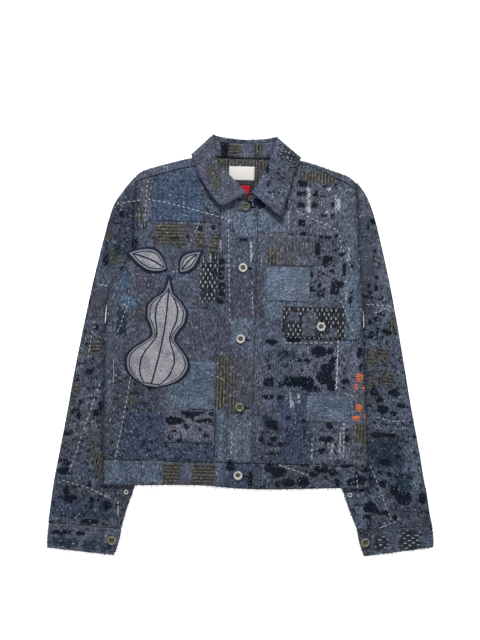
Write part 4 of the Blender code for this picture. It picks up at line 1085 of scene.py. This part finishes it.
def appliqueMaterial():
    n = Nodes("appliqueCloth")
    grain = n.inMillimetres(n.add("ShaderNodeTexCoord").outputs["Object"])
    rim, rib = n.attribute("rim", 2), n.attribute("rib", 2)
    worn = n.noise(grain, 0.5, 4.0, Roughness=0.7)
    wide = n.noise(grain, 0.045)
    hatch, value = n.dashes(*n.split(grain)[:2], 2.9, 3.6, 0.9, 2.5)
    cloth = n.blend(n.ramp(worn, 0.36, 0.64), (0.165, 0.165, 0.190), (0.47, 0.47, 0.51))
    cloth = n.blend(n.ramp(wide, 0.50, 0.62, 0.0, 0.6), cloth, (0.19, 0.17, 0.225))
    cloth = n.blend(n.times(hatch, n.ramp(value, 0.4, 0.6, 0.0, 0.7)), cloth, (0.10, 0.10, 0.135))
    border = n.blend(n.ramp(worn, 0.35, 0.65), (0.16, 0.165, 0.205), (0.25, 0.255, 0.30))
    cloth = n.blend(n.ramp(rim, 9.4, 10.2), border, cloth)
    # satin lines near the rim and along the ribs
    outer = n.ramp(rim, 5.6, 4.9)
    inner = n.times(n.ramp(rim, 8.2, 8.8), n.ramp(rim, 10.8, 10.2))
    ribs = n.times(n.ramp(rib, 1.7, 1.1), n.ramp(rim, 9.5, 11.0))
    line = n.math("MAXIMUM", n.math("MAXIMUM", outer, inner), ribs)
    satin = n.blend(n.ramp(worn, 0.4, 0.6), (0.008, 0.011, 0.026), (0.022, 0.027, 0.052))
    return n.finish(n.blend(line, cloth, satin), 0.85, 0.12, n.plus(line, n.times(worn, 0.5)), 0.7, 0.0009)


materials["appliqueCloth"] = appliqueMaterial()
for name, foot, tip, bend, widths, (columns, rows), ribShares in motifs:
    foot, tip = Vector(foot), Vector(tip)
    length = (tip - foot).length
    across = Vector(((tip - foot).y, -(tip - foot).x)).normalized()
    halfWidth = smoothLine([(i / (len(widths) - 1), w) for i, w in enumerate(widths)])

    def motifPoint(u, v):
        spot = foot.lerp(tip, v) + across * (bend * math.sin(math.pi * v) + halfWidth(v) * (2.0 * u - 1.0))
        edge = halfWidth(v) * (1.0 - abs(2.0 * u - 1.0))
        return *spot, frontTop(*spot, "right") + applique["rise"] - seamDip(edge, 0.5, 3.0)
    piece = cloth(name, columns, rows, motifPoint, applique["wall"], "appliqueCloth")
    for kind in ("rim", "rib"):
        piece.data.attributes.new(kind, "FLOAT", "POINT")
    rim, rib = (piece.data.attributes[kind].data for kind in ("rim", "rib"))
    for vert in piece.data.vertices:
        spot = Vector((vert.co.x, vert.co.y)) / mm + outlineMiddle.xy - foot
        v = min(1.0, max(0.0, spot.dot(tip - foot) / length ** 2))
        off = spot.dot(across) - bend * math.sin(math.pi * v)
        half = halfWidth(v)
        ends = min(v, 1.0 - v) * length
        rim[vert.index].value = min(half - abs(off), ends + 2.0)
        rib[vert.index].value = min(abs(off - half * (2.0 * share - 1.0)) for share in ribShares)
print("patches made")

def coverOf(pieces):
    # where the cloth lies, for what is sewn on it
    spots, faces, owners = [], [], []
    for piece in pieces:
        start = len(spots)
        spots += [v.co for v in piece.data.vertices]
        faces += [[start + i for i in face.vertices] for face in piece.data.polygons]
        owners += [piece.name] * len(piece.data.polygons)
    return BVHTree.FromPolygons(spots, faces), owners


cover, coverOwners = coverOf(clothPieces)


def restOn(x, y):
    # the height of the topmost cloth at x, y and the piece that it is, or nothing past the edge
    spot, _, face, _ = cover.ray_cast(place(x, y, 60.0), Vector((0, 0, -1)))
    return (spot.z / mm, coverOwners[face]) if spot else (None, None)


def threads(name, strands, material, slot="slate_cloth"):
    # each strand is a list of places with a radius, in millimetres
    line = bpy.data.curves.new(name, "CURVE")
    line.dimensions = "3D"
    line.bevel_depth = mm
    line.bevel_resolution = 0
    line.use_fill_caps = True
    for strand in strands:
        spline = line.splines.new("POLY")
        spline.points.add(len(strand) - 1)
        for point, (x, y, z, radius) in zip(spline.points, strand):
            point.co = (*place(x, y, z), 1.0)
            point.radius = radius
    holder = bpy.data.objects.new(name + "Line", line)
    mesh = bpy.data.meshes.new_from_object(holder)
    bpy.data.objects.remove(holder)
    mesh.name = name
    mesh.shade_smooth()
    mesh.materials.clear()
    piece = addPiece(name, mesh, materialOf(material), slot)
    print(f"{name}: {len(strands)} strands, {len(mesh.polygons)} faces")
    return piece


def dash(x, y, turn, long, radius, proud=0.35):
    # one stitch lying on the cloth, its ends going down into it
    strand = []
    ends, middle = (-0.5, 0.55), (proud, 1.0)
    for share, (lift, thick) in ((-0.5, ends), (-0.28, middle), (0.28, middle), (0.5, ends)):
        a, b = x + share * long * math.cos(turn), y + share * long * math.sin(turn)
        z = restOn(a, b)[0]
        if z is None:
            return None
        strand.append((a, b, max(0.3, z + lift), radius * thick))
    return strand


def legs(line):
    # the legs between a line's corners, each with its length and the way it points
    for (ax, ay), (bx, by) in zip(line, line[1:]):
        yield ax, ay, bx, by, math.hypot(bx - ax, by - ay), math.atan2(by - ay, bx - ax)


def dashesAlong(line, stitch, gaps=0.0):
    # stitches along a line of corners, a little uneven
    strands, left = [], 0.0
    for ax, ay, bx, by, long, turn in legs(line):
        at = left + stitch["pitch"] / 2
        while at < long:
            if random.random() >= gaps:
                x, y = mix(ax, bx, at / long), mix(ay, by, at / long)
                off = random.uniform(-0.35, 0.35)
                strand = dash(x - off * math.sin(turn), y + off * math.cos(turn),
                              turn + random.uniform(-0.05, 0.05),
                              stitch["long"] * random.uniform(0.82, 1.12), stitch["radius"])
                if strand:
                    strands.append(strand)
            at += stitch["pitch"] * random.uniform(0.92, 1.08)
        left = at - long - stitch["pitch"] / 2
    return strands


def rowsOfDashes(lines, stitch, gaps=0.0):
    return [strand for line in lines for strand in dashesAlong(line, stitch, gaps)]


# the white running stitches, and the finer rows beside the seams
sashiko = {"long": 6.2, "pitch": 9.4, "radius": 0.62}
fineRow = {"long": 2.9, "pitch": 4.3, "radius": 0.34}
runningLines = [
    [(-181, 307), (-185, 219)], [(-182, 270), (-129, 260), (-72, 246), (-23, 234)],
    [(-81, 231), (-101, 183)], [(-29, 255), (-25, 155), (-20, 46)],
    [(-203, -62), (-214, -137), (-229, -224)], [(-328, -261), (-278, -275), (-231, -296)],
    [(-261, -79), (-289, -168), (-313, -247)], [(98, 254), (176, 221), (186, 194)], [(84, 303), (86, 215)],
    [(183, 193), (197, 165), (209, 137)], [(81, 6), (180, 9)], [(190, -83), (215, -90)],
    [(77, -222), (136, -241)], [(233, 83), (257, 82), (282, 81)], [(241, 61), (265, 73), (280, 79)],
    [(250, -219), (270, -265), (293, -323)], [(259, -128), (286, -135), (316, -134)], [(19, 121), (23, 57)],
    [(-209, 79), (-230, 18)], [(186, 90), (210, 34)], [(-11, -160), (-11, -207)],
    [(-268, 106), (-251, 104)], [(269, -337), (302, -323)], [(230, -282), (224, -229)],
    [(-274, 40), (-285, -36)], [(295, 93), (316, 9)], [(-63, -52), (-24, -68)], [(-230, 260), (-184, 269)],
]
rustRow = {"long": 4.0, "pitch": 4.6, "radius": 0.9}
runningStitches = threads("runningStitches", rowsOfDashes(runningLines, sashiko, 0.05), "whiteThread")
rustLine = threads("rustLine", dashesAlong([(45, 212), (86, 215)], rustRow), "rustThread")


def beside(line, gap):
    # a line moved sideways by gap
    moved = []
    for i, (x, y) in enumerate(line):
        ax, ay = line[max(0, i - 1)]
        bx, by = line[min(len(line) - 1, i + 1)]
        long = math.hypot(bx - ax, by - ay)
        moved.append((x - gap * (by - ay) / long, y + gap * (bx - ax) / long))
    return moved


def sampled(start, end, curve, steps=24, upright=False):
    spots = [mix(start, end, i / steps) for i in range(steps + 1)]
    return [(curve(s), s) if upright else (s, curve(s)) for s in spots]


over, under, waist = body["overBand"], body["underBand"], body["waist"]
collarEdge = [row[6:8] for row in collarRows]
seamRows = [
    [(over[0] + 3.2, 262), (over[0] + 3.2, waist + 4)], [(over[1] - 3.2, 262), (over[1] - 3.2, waist + 4)],
    [(over[1] + 5.5, 262), (over[1] + 5.5, waist + 4)],
    [(under[0] - 5.0, 280), (under[0] - 5.0, waist + 4)],
    [(-246, waist + 4.6), (under[0] - 3, waist + 4.6)], [(over[1] + 3, waist + 4.6), (240, waist + 4.6)],
    [(-244, waist - 4.4), (-24, waist - 4.4)], [(-14, waist - 4.4), (243, waist - 4.4)],
    beside(sampled(-245, -24, hemLine), 4.5), beside(sampled(-14, 245, hemLine), 4.5),
    beside(sampled(-196, -82, frontTopLine["right"]), -3.4),
    beside(sampled(82, 204, frontTopLine["left"]), -3.4),
    sampled(90, 296, lambda y: sideLine["right"](y) + 4.5, upright=True),
    sampled(90, 292, lambda y: sideLine["left"](y) - 4.5, upright=True),
    beside(collarEdge[:8], -3.6), beside(collarEdge[-8:], -3.6),
]
for rings in cuffRings.values():
    for ring, gap in ((rings[0], 4.5), (rings[0], -4.5), (rings[-1], -4.0)):
        a, b = Vector(ring[:2]), Vector(ring[2:])
        a, b = a.lerp(b, 0.05), a.lerp(b, 0.95)
        down = Vector(((b - a).y, (a - b).x)).normalized()
        down = down if down.y < 0 else -down
        seamRows.append([tuple(a + down * gap), tuple(b + down * gap)])
seamRows.append([(-16, 0), (14, -9), (40, -24), (70, -41)])


def inTwoKinds(strands, first, firstFinish, rest, restFinish):
    # a third of the strands in one kind of thread and the rest in the other
    random.shuffle(strands)
    share = len(strands) // 3
    return [threads(first, strands[:share], firstFinish), threads(rest, strands[share:], restFinish)]


seamStitches = inTwoKinds(rowsOfDashes(seamRows, fineRow, 0.12), "seamStitchesPale", "paleThread",
                          "seamStitchesDark", "darkThread")

# the quilting: short upright stitches all over, some of them worn away
quilting = {"left": -355, "low": -400, "wide": 740, "high": 760, "across": 4.5, "up": 6.3, "long": 3.6,
            "radius": 0.55, "proud": 0.15, "kept": 0.60}
quiltShares = {"darkThread": 0.66, "slateThread": 0.96, "paleThread": 1.0}
quiltStrands = {kind: [] for kind in quiltShares}
notQuilted = ("appliqueGourd", "appliqueLeafUpper", "appliqueLeafLower", "collarStand", "backPanel",
              "patchMiddleLeft", "patchLowLeft", "patchMiddleRight", "patchShoulderRight")
for i in range(int(quilting["wide"] / quilting["across"])):
    for j in range(int(quilting["high"] / quilting["up"])):
        x = quilting["left"] + quilting["across"] * (i + random.uniform(-0.16, 0.16))
        y = quilting["low"] + quilting["up"] * (j + 0.5 * (i % 2) + random.uniform(-0.22, 0.22))
        kept, kind = random.random(), random.random()
        worn = 0.5 + 0.9 * noise.noise(Vector((x / 34, y / 40, 6.6)))
        if kept > quilting["kept"] * (0.55 + 0.9 * min(1.0, max(0.0, worn))):
            continue
        z, owner = restOn(x, y)
        if z is None or owner in notQuilted:
            continue
        if any(name in ("ink", "blot", "teal", "navy") and left < x < right and low < y < high
               for name, left, low, right, high in chartOf[owner]):
            kind = 0.0
        hand = handOf(x)
        turn = math.pi / 2
        if owner.startswith(("sleeve", "cuff", "patchSleeve")):
            lean = foldLine[hand](max(-340, y + 6)) - foldLine[hand](max(-346, y - 6))
            turn -= math.copysign(math.atan2(lean, 12.0), x)
        strand = dash(x, y, turn + random.uniform(-0.05, 0.05),
                      quilting["long"] * random.uniform(0.6, 1.15),
                      quilting["radius"] * random.uniform(0.75, 1.15), quilting["proud"])
        if strand:
            shade = next(name for name, top in quiltShares.items() if kind < top)
            quiltStrands[shade].append(strand[:2] + strand[3:])


def inEachKind(start, kinds):
    # a piece for each kind of thread, its name made of the start and the thread's own
    return [threads(start + kind.removesuffix("Thread").title(), strands, kind)
            for kind, strands in kinds.items()]


quilt = inEachKind("quilting", quiltStrands)

def whisker(x, y, z, turn, long, radius, curl, proud=0.6):
    # a loose end, which lies on the cloth or hangs past its edge
    strand = []
    for i in range(4):
        t = i / 3.0
        a = x + long * t * math.cos(turn) - curl * t * t * math.sin(turn)
        b = y + long * t * math.sin(turn) + curl * t * t * math.cos(turn)
        height = restOn(a, b)[0]
        level = z if height is None else max(z, height + 0.2)
        level += proud * math.sin(math.pi * t) - (0.0 if t else 0.3)
        strand.append((a, b, max(0.4, level), radius * (1.0 - 0.55 * t)))
    return strand


def ringEdge(hand, start):
    # the sleeve's outer fold from the shoulder, or its inner one from the underarm
    first = 0 if start else 4
    return [tuple(row[start:start + 2]) for row in sleeveRings[hand][first:-1] + cuffRings[hand]]


fringe = {"every": 2.7, "long": (1.6, 5.2), "radius": (0.26, 0.42), "curl": 2.2, "stray": 0.06}
fringeLines = [ringEdge(hand, start) for hand in ("right", "left") for start in (0, 2)]
fringeLines += [[rings[-1][:2], rings[-1][2:]] for rings in cuffRings.values()]
fringeLines += [sampled(-249, 250, hemLine, 60), sampled(-222, 66, sideLine["right"], 30, True),
                sampled(-222, 66, sideLine["left"], 30, True), sampled(-204, -84, ridgeLine["right"]),
                sampled(84, 209, ridgeLine["left"]),
                [row[2:4] for row in collarRows[5:17]], collarEdge[:8], collarEdge[-8:]]
whiskers = []
for line in fringeLines:
    for ax, ay, bx, by, long, turn in legs(line):
        for i in range(int(long / fringe["every"]) + 1):
            t = random.random()
            x, y = mix(ax, bx, t), mix(ay, by, t)
            for side in (1.0, -1.0):
                out = turn + side * math.pi / 2
                if restOn(x + 4 * math.cos(out), y + 4 * math.sin(out))[0] is None:
                    break
            else:
                side = random.choice((1.0, -1.0))
            out = turn + side * (math.pi / 2 + random.uniform(-1.0, 1.0))
            inside = restOn(x - 1.2 * math.cos(out), y - 1.2 * math.sin(out))
            z = (inside[0] or 4.0) - 0.8
            reach = random.uniform(*fringe["long"]) * (2.2 if random.random() < fringe["stray"] else 1.0)
            whiskers.append(whisker(x - 0.8 * math.cos(out), y - 0.8 * math.sin(out), z, out, reach,
                                    random.uniform(*fringe["radius"]),
                                    random.uniform(-1, 1) * fringe["curl"]))
edgeWhiskers = inTwoKinds(whiskers, "edgeWhiskersDark", "darkThread", "edgeWhiskers", "slateThread")
fuzz = {"count": 600, "x": (-350, 372), "y": (-395, 395), "long": (2.2, 5.6), "radius": (0.24, 0.38),
        "curl": 1.8, "proud": 0.8}
fuzzStrands = {"slateThread": [], "darkThread": [], "paleThread": []}
while sum(len(s) for s in fuzzStrands.values()) < fuzz["count"]:
    x, y = random.uniform(*fuzz["x"]), random.uniform(*fuzz["y"])
    z, owner = restOn(x, y)
    if z is None or owner in notQuilted[:5]:
        continue
    fuzzStrands[random.choice(("slateThread", "slateThread", "darkThread", "paleThread"))].append(
        whisker(x, y, z, random.uniform(0, math.tau), random.uniform(*fuzz["long"]),
                random.uniform(*fuzz["radius"]), random.uniform(-1, 1) * fuzz["curl"], fuzz["proud"]))
fuzzPieces = inEachKind("fuzz", fuzzStrands)
print("threads made")

# white darns, each from one point to another in so many rows, and thick running stitches
darning = {"long": 3.4, "pitch": 4.4, "radius": 0.62, "apart": 1.7}
darns = [
    ((121.5, 299), (122.5, 256), 3), ((171.5, 288), (172.5, 252), 2), ((178, 283), (179, 258), 3),
    ((158, 300), (159, 292), 3), ((195, 129), (195.5, 120), 3), ((196, 101), (197, 88), 2),
    ((15, 194), (16, 157), 2), ((-42, 196), (-41, 174), 2), ((-236, -33), (-235, -80), 1),
    ((96, -84), (97, -101), 2), ((89, -96), (90, -102), 2), ((170, -178), (171, -188), 2),
    ((139, -202), (140, -212), 2), ((-221, -298), (-220, -328), 2), ((-60, 172), (-60, 150), 2),
    ((36, 176), (36, 150), 1),
]
darnStrands = []
for (ax, ay), (bx, by), count in darns:
    for i in range(count):
        x = (i - (count - 1) / 2) * darning["apart"]
        start, end = ay + random.uniform(-3, 1), by + random.uniform(-1, 4)
        darnStrands += dashesAlong([(ax + x, start), (bx + x, end)], darning, 0.1)
whiteDarns = threads("whiteDarns", darnStrands, "whiteThread")
thickRow = {"long": 6.6, "pitch": 8.6, "radius": 0.95}
thickRows = [[(184, 15), (182.5, -77)], [(198.5, -139), (199.5, -204)]]
thickStitches = threads("thickStitches", rowsOfDashes(thickRows, thickRow), "whiteThread")

# each mend: its middle, its half width and height, and how many stitches lie across and up it
mends = [((225, -55), (8, 8), 6, 3), ((219, -73), (3.5, 6), 4, 1), ((234, -74), (3.5, 6), 4, 1),
         ((226, -112), (6.5, 7), 6, 3), ((221, -131), (9, 4.5), 4, 3), ((238, -128), (2.2, 5), 3, 0)]
mendStrands, mendRadius = [], 0.85
for (x, y), (halfWide, halfHigh), across, up in mends:
    for i in range(across):
        level = y + halfHigh * (2.0 * (i + 0.5) / across - 1.0) + random.uniform(-0.7, 0.7)
        mendStrands.append(dash(x + random.uniform(-1.2, 1.2), level, random.uniform(-0.25, 0.25),
                                2.0 * halfWide * random.uniform(0.55, 1.0), mendRadius, 0.6))
    for i in range(up):
        side = x + halfWide * (2.0 * (i + 0.5) / up - 1.0) + random.uniform(-0.8, 0.8)
        mendStrands.append(dash(side, y + random.uniform(-1, 1), math.pi / 2 + random.uniform(-0.2, 0.2),
                                2.0 * halfHigh * random.uniform(0.6, 1.0), mendRadius, 1.1))
orangeMends = threads("orangeMends", [s for s in mendStrands if s], "orangeThread")

# each label's left and right, low and high, its rise, finish and slot, and its cells across and up
labels = {
    "labelMain": ((-29.5, 18.5), (309.0, 335.0), 0.75, "creamTape", "label_cream", (32, 18)),
    "labelLower": ((-20.0, 18.0), (283.0, 306.5), 0.75, "darkTape", "label_dark", (26, 16)),
    "redTab": ((-8.0, 10.5), (281.0, 299.5), 1.75, "redTape", "label_dark", (16, 16)),
}
labelPieces, labelWall = [], 0.6
for name, (sides, levels, rise, finish, slot, (columns, rows)) in labels.items():
    sheetMesh = bmesh.new()
    bmesh.ops.create_grid(sheetMesh, x_segments=columns, y_segments=rows, size=0.5)
    for vert in sheetMesh.verts:
        u, v = vert.co.x + 0.5, vert.co.y + 0.5
        x, y = mix(*sides, u), mix(*levels, v)
        if name == "redTab":
            # rounded at its lower corners
            x = mix(x, sum(sides) / 2, 0.55 * (1.0 - v) ** 3)
        buckle = 0.22 * math.sin(x / 7.0 + 1.0) + 0.18 * noise.noise(Vector((x / 9, y / 7, 2.2)))
        edge = min(u, 1.0 - u, v, 1.0 - v)
        z = backLow(x, y) + body["wall"] + rise + labelWall + buckle * ease(edge * 8)
        vert.co = place(x, y, z - 0.25 * (1.0 - ease(edge * 18)))
    mesh = meshOf(name, sheetMesh)
    mesh.shade_smooth()
    piece = addPiece(name, mesh, materialOf(finish), slot, snake(name) if name != "redTab" else None)
    thicken(piece, labelWall)
    labelPieces.append(piece)
cover, coverOwners = coverOf(clothPieces + labelPieces)
labelRow = {"long": 1.9, "pitch": 2.6, "radius": 0.26}
borderRow = {"long": 1.1, "pitch": 2.9, "radius": 0.5}
labelStitches = []
for name in ("labelMain", "labelLower"):
    (left, right), (low, high) = labels[name][:2]
    for x in (left + 1.6, right - 1.6):
        labelStitches += dashesAlong([(x, low + 1), (x, high - 1)], labelRow)
# plain pale dots in two rows on the dark label, as a woven border
for row in (303.6, 286.0):
    labelStitches += dashesAlong([(-17, row), (15, row)], borderRow)
labelThreads = threads("labelThreads", labelStitches, "paleThread", "label_dark")

# a button is a turned ring with a dark well and a stud in it: radius and height as shares of its own
buttonProfile = [
    (0.0, 0.66), (0.10, 0.66), (0.155, 0.62), (0.19, 0.52), (0.20, 0.30), (0.36, 0.26), (0.47, 0.30),
    (0.53, 0.42), (0.565, 0.66), (0.61, 0.86), (0.69, 0.97), (0.77, 1.0), (0.85, 0.96), (0.92, 0.85),
    (0.975, 0.66), (1.0, 0.42), (0.985, 0.22), (0.92, 0.06), (0.86, 0.0), (0.0, 0.0)]
buttons = {
    # the neck button's darker brass is painted shade, as it lies under the collar
    "buttonNeck": "shadedBrassButton", "buttonChest": "offWhiteButton", "buttonMiddle": "offWhiteButton",
    "buttonLow": "dullBrassButton", "buttonWaist": "offWhiteButton", "buttonFlap": "offWhiteButton",
    "buttonCuffLeft": "dullBrassButton", "buttonCuffRight": "dullBrassButton",
    "buttonSleeveLeft": "offWhiteButton", "buttonSleeveRight": "offWhiteButton",
}
spin = {"sides": 40, "well": 0.49}


def spunButton(name, finish):
    low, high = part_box(snake(name))
    middle = Vector(((low[0] + high[0]) / 2, (low[1] + high[1]) / 2, low[2]))
    radius, height = (high[0] - low[0]) / 2, high[2] - low[2]
    turned = bmesh.new()
    verts = [turned.verts.new((r * radius, 0, h * height)) for r, h in buttonProfile]
    for pair in zip(verts, verts[1:]):
        turned.edges.new(pair)
    bmesh.ops.spin(turned, geom=turned.verts[:] + turned.edges[:], axis=(0, 0, 1), cent=(0, 0, 0),
                   angle=math.tau, steps=spin["sides"], use_merge=True)
    bmesh.ops.remove_doubles(turned, verts=turned.verts[:], dist=0.005 * mm)
    bmesh.ops.recalc_face_normals(turned, faces=turned.faces[:])
    for face in turned.faces:
        off = face.calc_center_median()
        face.material_index = int(off.xy.length / radius < spin["well"] and off.z > 0.1 * height)
        face.smooth = True
    bmesh.ops.translate(turned, verts=turned.verts[:], vec=middle)
    mesh = meshOf(name, turned)
    plain = finish == "offWhiteButton"
    slot = "off_white_button" if plain else "dull_brass_button"
    addPiece(name, mesh, materialOf(finish), slot, snake(name))
    mesh.materials.append(materialOf("wellDark" if plain else "wellBrass"))


for name, finish in buttons.items():
    spunButton(name, finish)

# a buttonhole is a slit with stitches standing across its two sides; the near-black strand along the slit
# is painted shade inside the cut
holes = {"long": 20.5, "half": 3.1, "pitch": 1.15, "stitch": 2.5, "radius": 0.42, "proud": 0.5}
# how far along the slit, how far below its line, and how thick
slit = [(1.0, 0.0, 1.6), (8.0, 0.2, 2.3), (15.0, 0.8, 2.4), (holes["long"] + 3.5, 1.4, 1.5)]
holeSpots = [(-1.0, 259.5, 0.0), (-3.0, 144.9, 0.0), (-3.8, 11.3, 0.0), (-2.4, -116.5, 0.0),
             (-1.8, -244.5, 0.0), (151.5, 33.5, math.pi / 2)]
holeStrands, slitShadeStrands = [], []
for x, y, turn in holeSpots:
    along, side = Vector((math.cos(turn), math.sin(turn))), Vector((-math.sin(turn), math.cos(turn)))
    start = Vector((x, y))
    for i in range(int(holes["long"] / holes["pitch"])):
        at = start + along * i * holes["pitch"]
        for hand in (-1.0, 1.0):
            spot = at + side * hand * holes["half"]
            holeStrands.append(dash(*spot, turn + math.pi / 2 + random.uniform(-0.1, 0.1),
                                    holes["stitch"], holes["radius"], holes["proud"]))
    spots = [(start + along * far - side * drop, thick) for far, drop, thick in slit]
    slitShadeStrands.append([(*spot, (restOn(*spot)[0] or 8.0) - 0.6, thick) for spot, thick in spots])
holeStitches = threads("holeStitches", [strand for strand in holeStrands if strand], "slateThread")
# the slit strands are near-black: painted shade inside each buttonhole's cut
holeSlits = threads("holeSlits", slitShadeStrands, "slitShade")

# small dark stitches in rows over the bright patch
dots = {"left": -170, "low": 236, "columns": 11, "rows": 9, "across": 9.0, "up": 8.6, "stray": 1.5,
        "long": (2.4, 4.2), "radius": 0.85}
brightDots = []
for column in range(dots["columns"]):
    for row in range(dots["rows"]):
        x = dots["left"] + dots["across"] * column + random.uniform(-dots["stray"], dots["stray"])
        y = dots["low"] + dots["up"] * row + random.uniform(-dots["stray"], dots["stray"])
        if "collar" not in (restOn(x, y)[1] or "collar"):
            brightDots.append(dash(x, y, math.pi / 2 + random.uniform(-0.5, 0.5),
                                   random.uniform(*dots["long"]), dots["radius"]))
brightStitches = threads("brightStitches", [strand for strand in brightDots if strand], "darkThread")
print("buttons and labels made")

ground = {"size": 30.0, "drop": 0.0004}
plane = bmesh.new()
bmesh.ops.create_grid(plane, x_segments=1, y_segments=1, size=ground["size"])
floor = newObject("floor", meshOf("floor", plane))
paper = bpy.data.materials.new("paper")
paper.use_nodes = True
for name, value in (("Base Color", (0.93, 0.93, 0.93, 1)), ("Emission Color", (1, 1, 1, 1)),
                    ("Emission Strength", 0.72), ("Roughness", 0.9)):
    paper.node_tree.nodes["Principled BSDF"].inputs[name].default_value = value
floor.data.materials.append(paper)
floor.location.z = -ground["drop"]

# the cloths as cut: width, length and flat area in metres, and what each lies on
cuts = {
    "frontRight": (0.212, 0.560, 0.105, "backPanel"), "frontLeft": (0.222, 0.566, 0.110, "backPanel"),
    "bandRight": (0.065, 0.510, 0.033, "backPanel"), "bandLeft": (0.046, 0.495, 0.0226, "bandRight"),
    "waistbandRight": (0.272, 0.047, 0.0126, "waistbandBack"),
    "waistbandLeft": (0.270, 0.047, 0.0124, "waistbandRight", "waistbandBack"),
    "waistbandBack": (0.500, 0.047, 0.0232, "sleeveRight", "sleeveLeft"),
    "backPanel": (0.500, 0.600, 0.262, "sleeveRight", "sleeveLeft"), "sleeveRight": (0.345, 0.560, 0.122),
    "sleeveLeft": (0.345, 0.560, 0.133), "cuffRight": (0.276, 0.048, 0.0130),
    "cuffLeft": (0.282, 0.048, 0.0132),
    "collarFall": (0.470, 0.062, 0.0225, "frontRight", "frontLeft", "backPanel"),
    "collarStand": (0.430, 0.030, 0.0094, "backPanel"),
    "patchShoulderRight": (0.090, 0.073, None, "frontRight"),
    "patchBreastRight": (0.044, 0.046, None, "frontRight"),
    "patchDottedRight": (0.019, 0.089, None, "frontRight"),
    "patchMiddleRight": (0.047, 0.091, None, "frontRight"),
    "patchBrushedRight": (0.092, 0.061, None, "frontRight"),
    "patchBreastLeft": (0.086, 0.059, None, "frontLeft"),
    "patchMiddleLeft": (0.083, 0.065, None, "frontLeft"), "patchLowLeft": (0.081, 0.050, None, "frontLeft"),
    "patchSideLeft": (0.024, 0.043, None, "frontLeft"),
    "patchSleeveLeftUpper": (0.056, 0.095, None, "sleeveLeft"),
    "patchSleeveLeftLower": (0.053, 0.060, None, "sleeveLeft"),
    "patchSleeveRight": (0.042, 0.074, None, "sleeveRight"),
    "sleevePlacketLeft": (0.028, 0.070, None, "sleeveLeft"),
    "sleevePlacketRight": (0.028, 0.070, None, "sleeveRight"),
    "pocketFlap": (0.147, 0.060, 0.0087, "frontLeft"),
    "appliqueGourd": (0.124, 0.228, 0.0149, "frontRight"),
    "appliqueLeafUpper": (0.048, 0.083, 0.0027, "frontRight"),
    "appliqueLeafLower": (0.036, 0.061, 0.0015, "frontRight"),
    "labelMain": (0.048, 0.026, None, "backPanel"), "labelLower": (0.038, 0.0235, None, "backPanel"),
    "redTab": (0.0185, 0.0185, 0.00033, "labelLower"),
}
for name, (wide, long, area, *below) in cuts.items():
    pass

world = bpy.data.worlds.new("studio")
bpy.context.scene.world = world
world.use_nodes = True
sky = world.node_tree.nodes["Background"].inputs
sky["Color"].default_value, sky["Strength"].default_value = (1, 1, 1, 1), 0.35
studio = {"key": (-0.25, 1.9, 1.55, 54.0, 0.5), "fill": (1.3, -0.5, 2.4, 9.0, 2.0)}
for name, (x, y, z, power, size) in studio.items():
    light = bpy.data.lights.new(name, "AREA")
    light.energy, light.size = power, size
    lamp = newObject(name, light)
    lamp.location = (x, y, z)
    lamp.rotation_euler = (-lamp.location).to_track_quat("-Z", "Y").to_euler()

view = {"middle": (-0.0121, 0.0505), "tall": 1.203, "away": 3.0, "turn": 1.55}
camera = bpy.data.cameras.new("camera")
camera.sensor_width = 36.0
camera.lens = 36.0 * view["away"] / view["tall"]
lens = newObject("camera", camera)
lens.location = (*view["middle"], view["away"])
lens.rotation_euler = (0, 0, math.radians(view["turn"]))
bpy.context.scene.camera = lens
bpy.context.scene.view_settings.view_transform = "Standard"
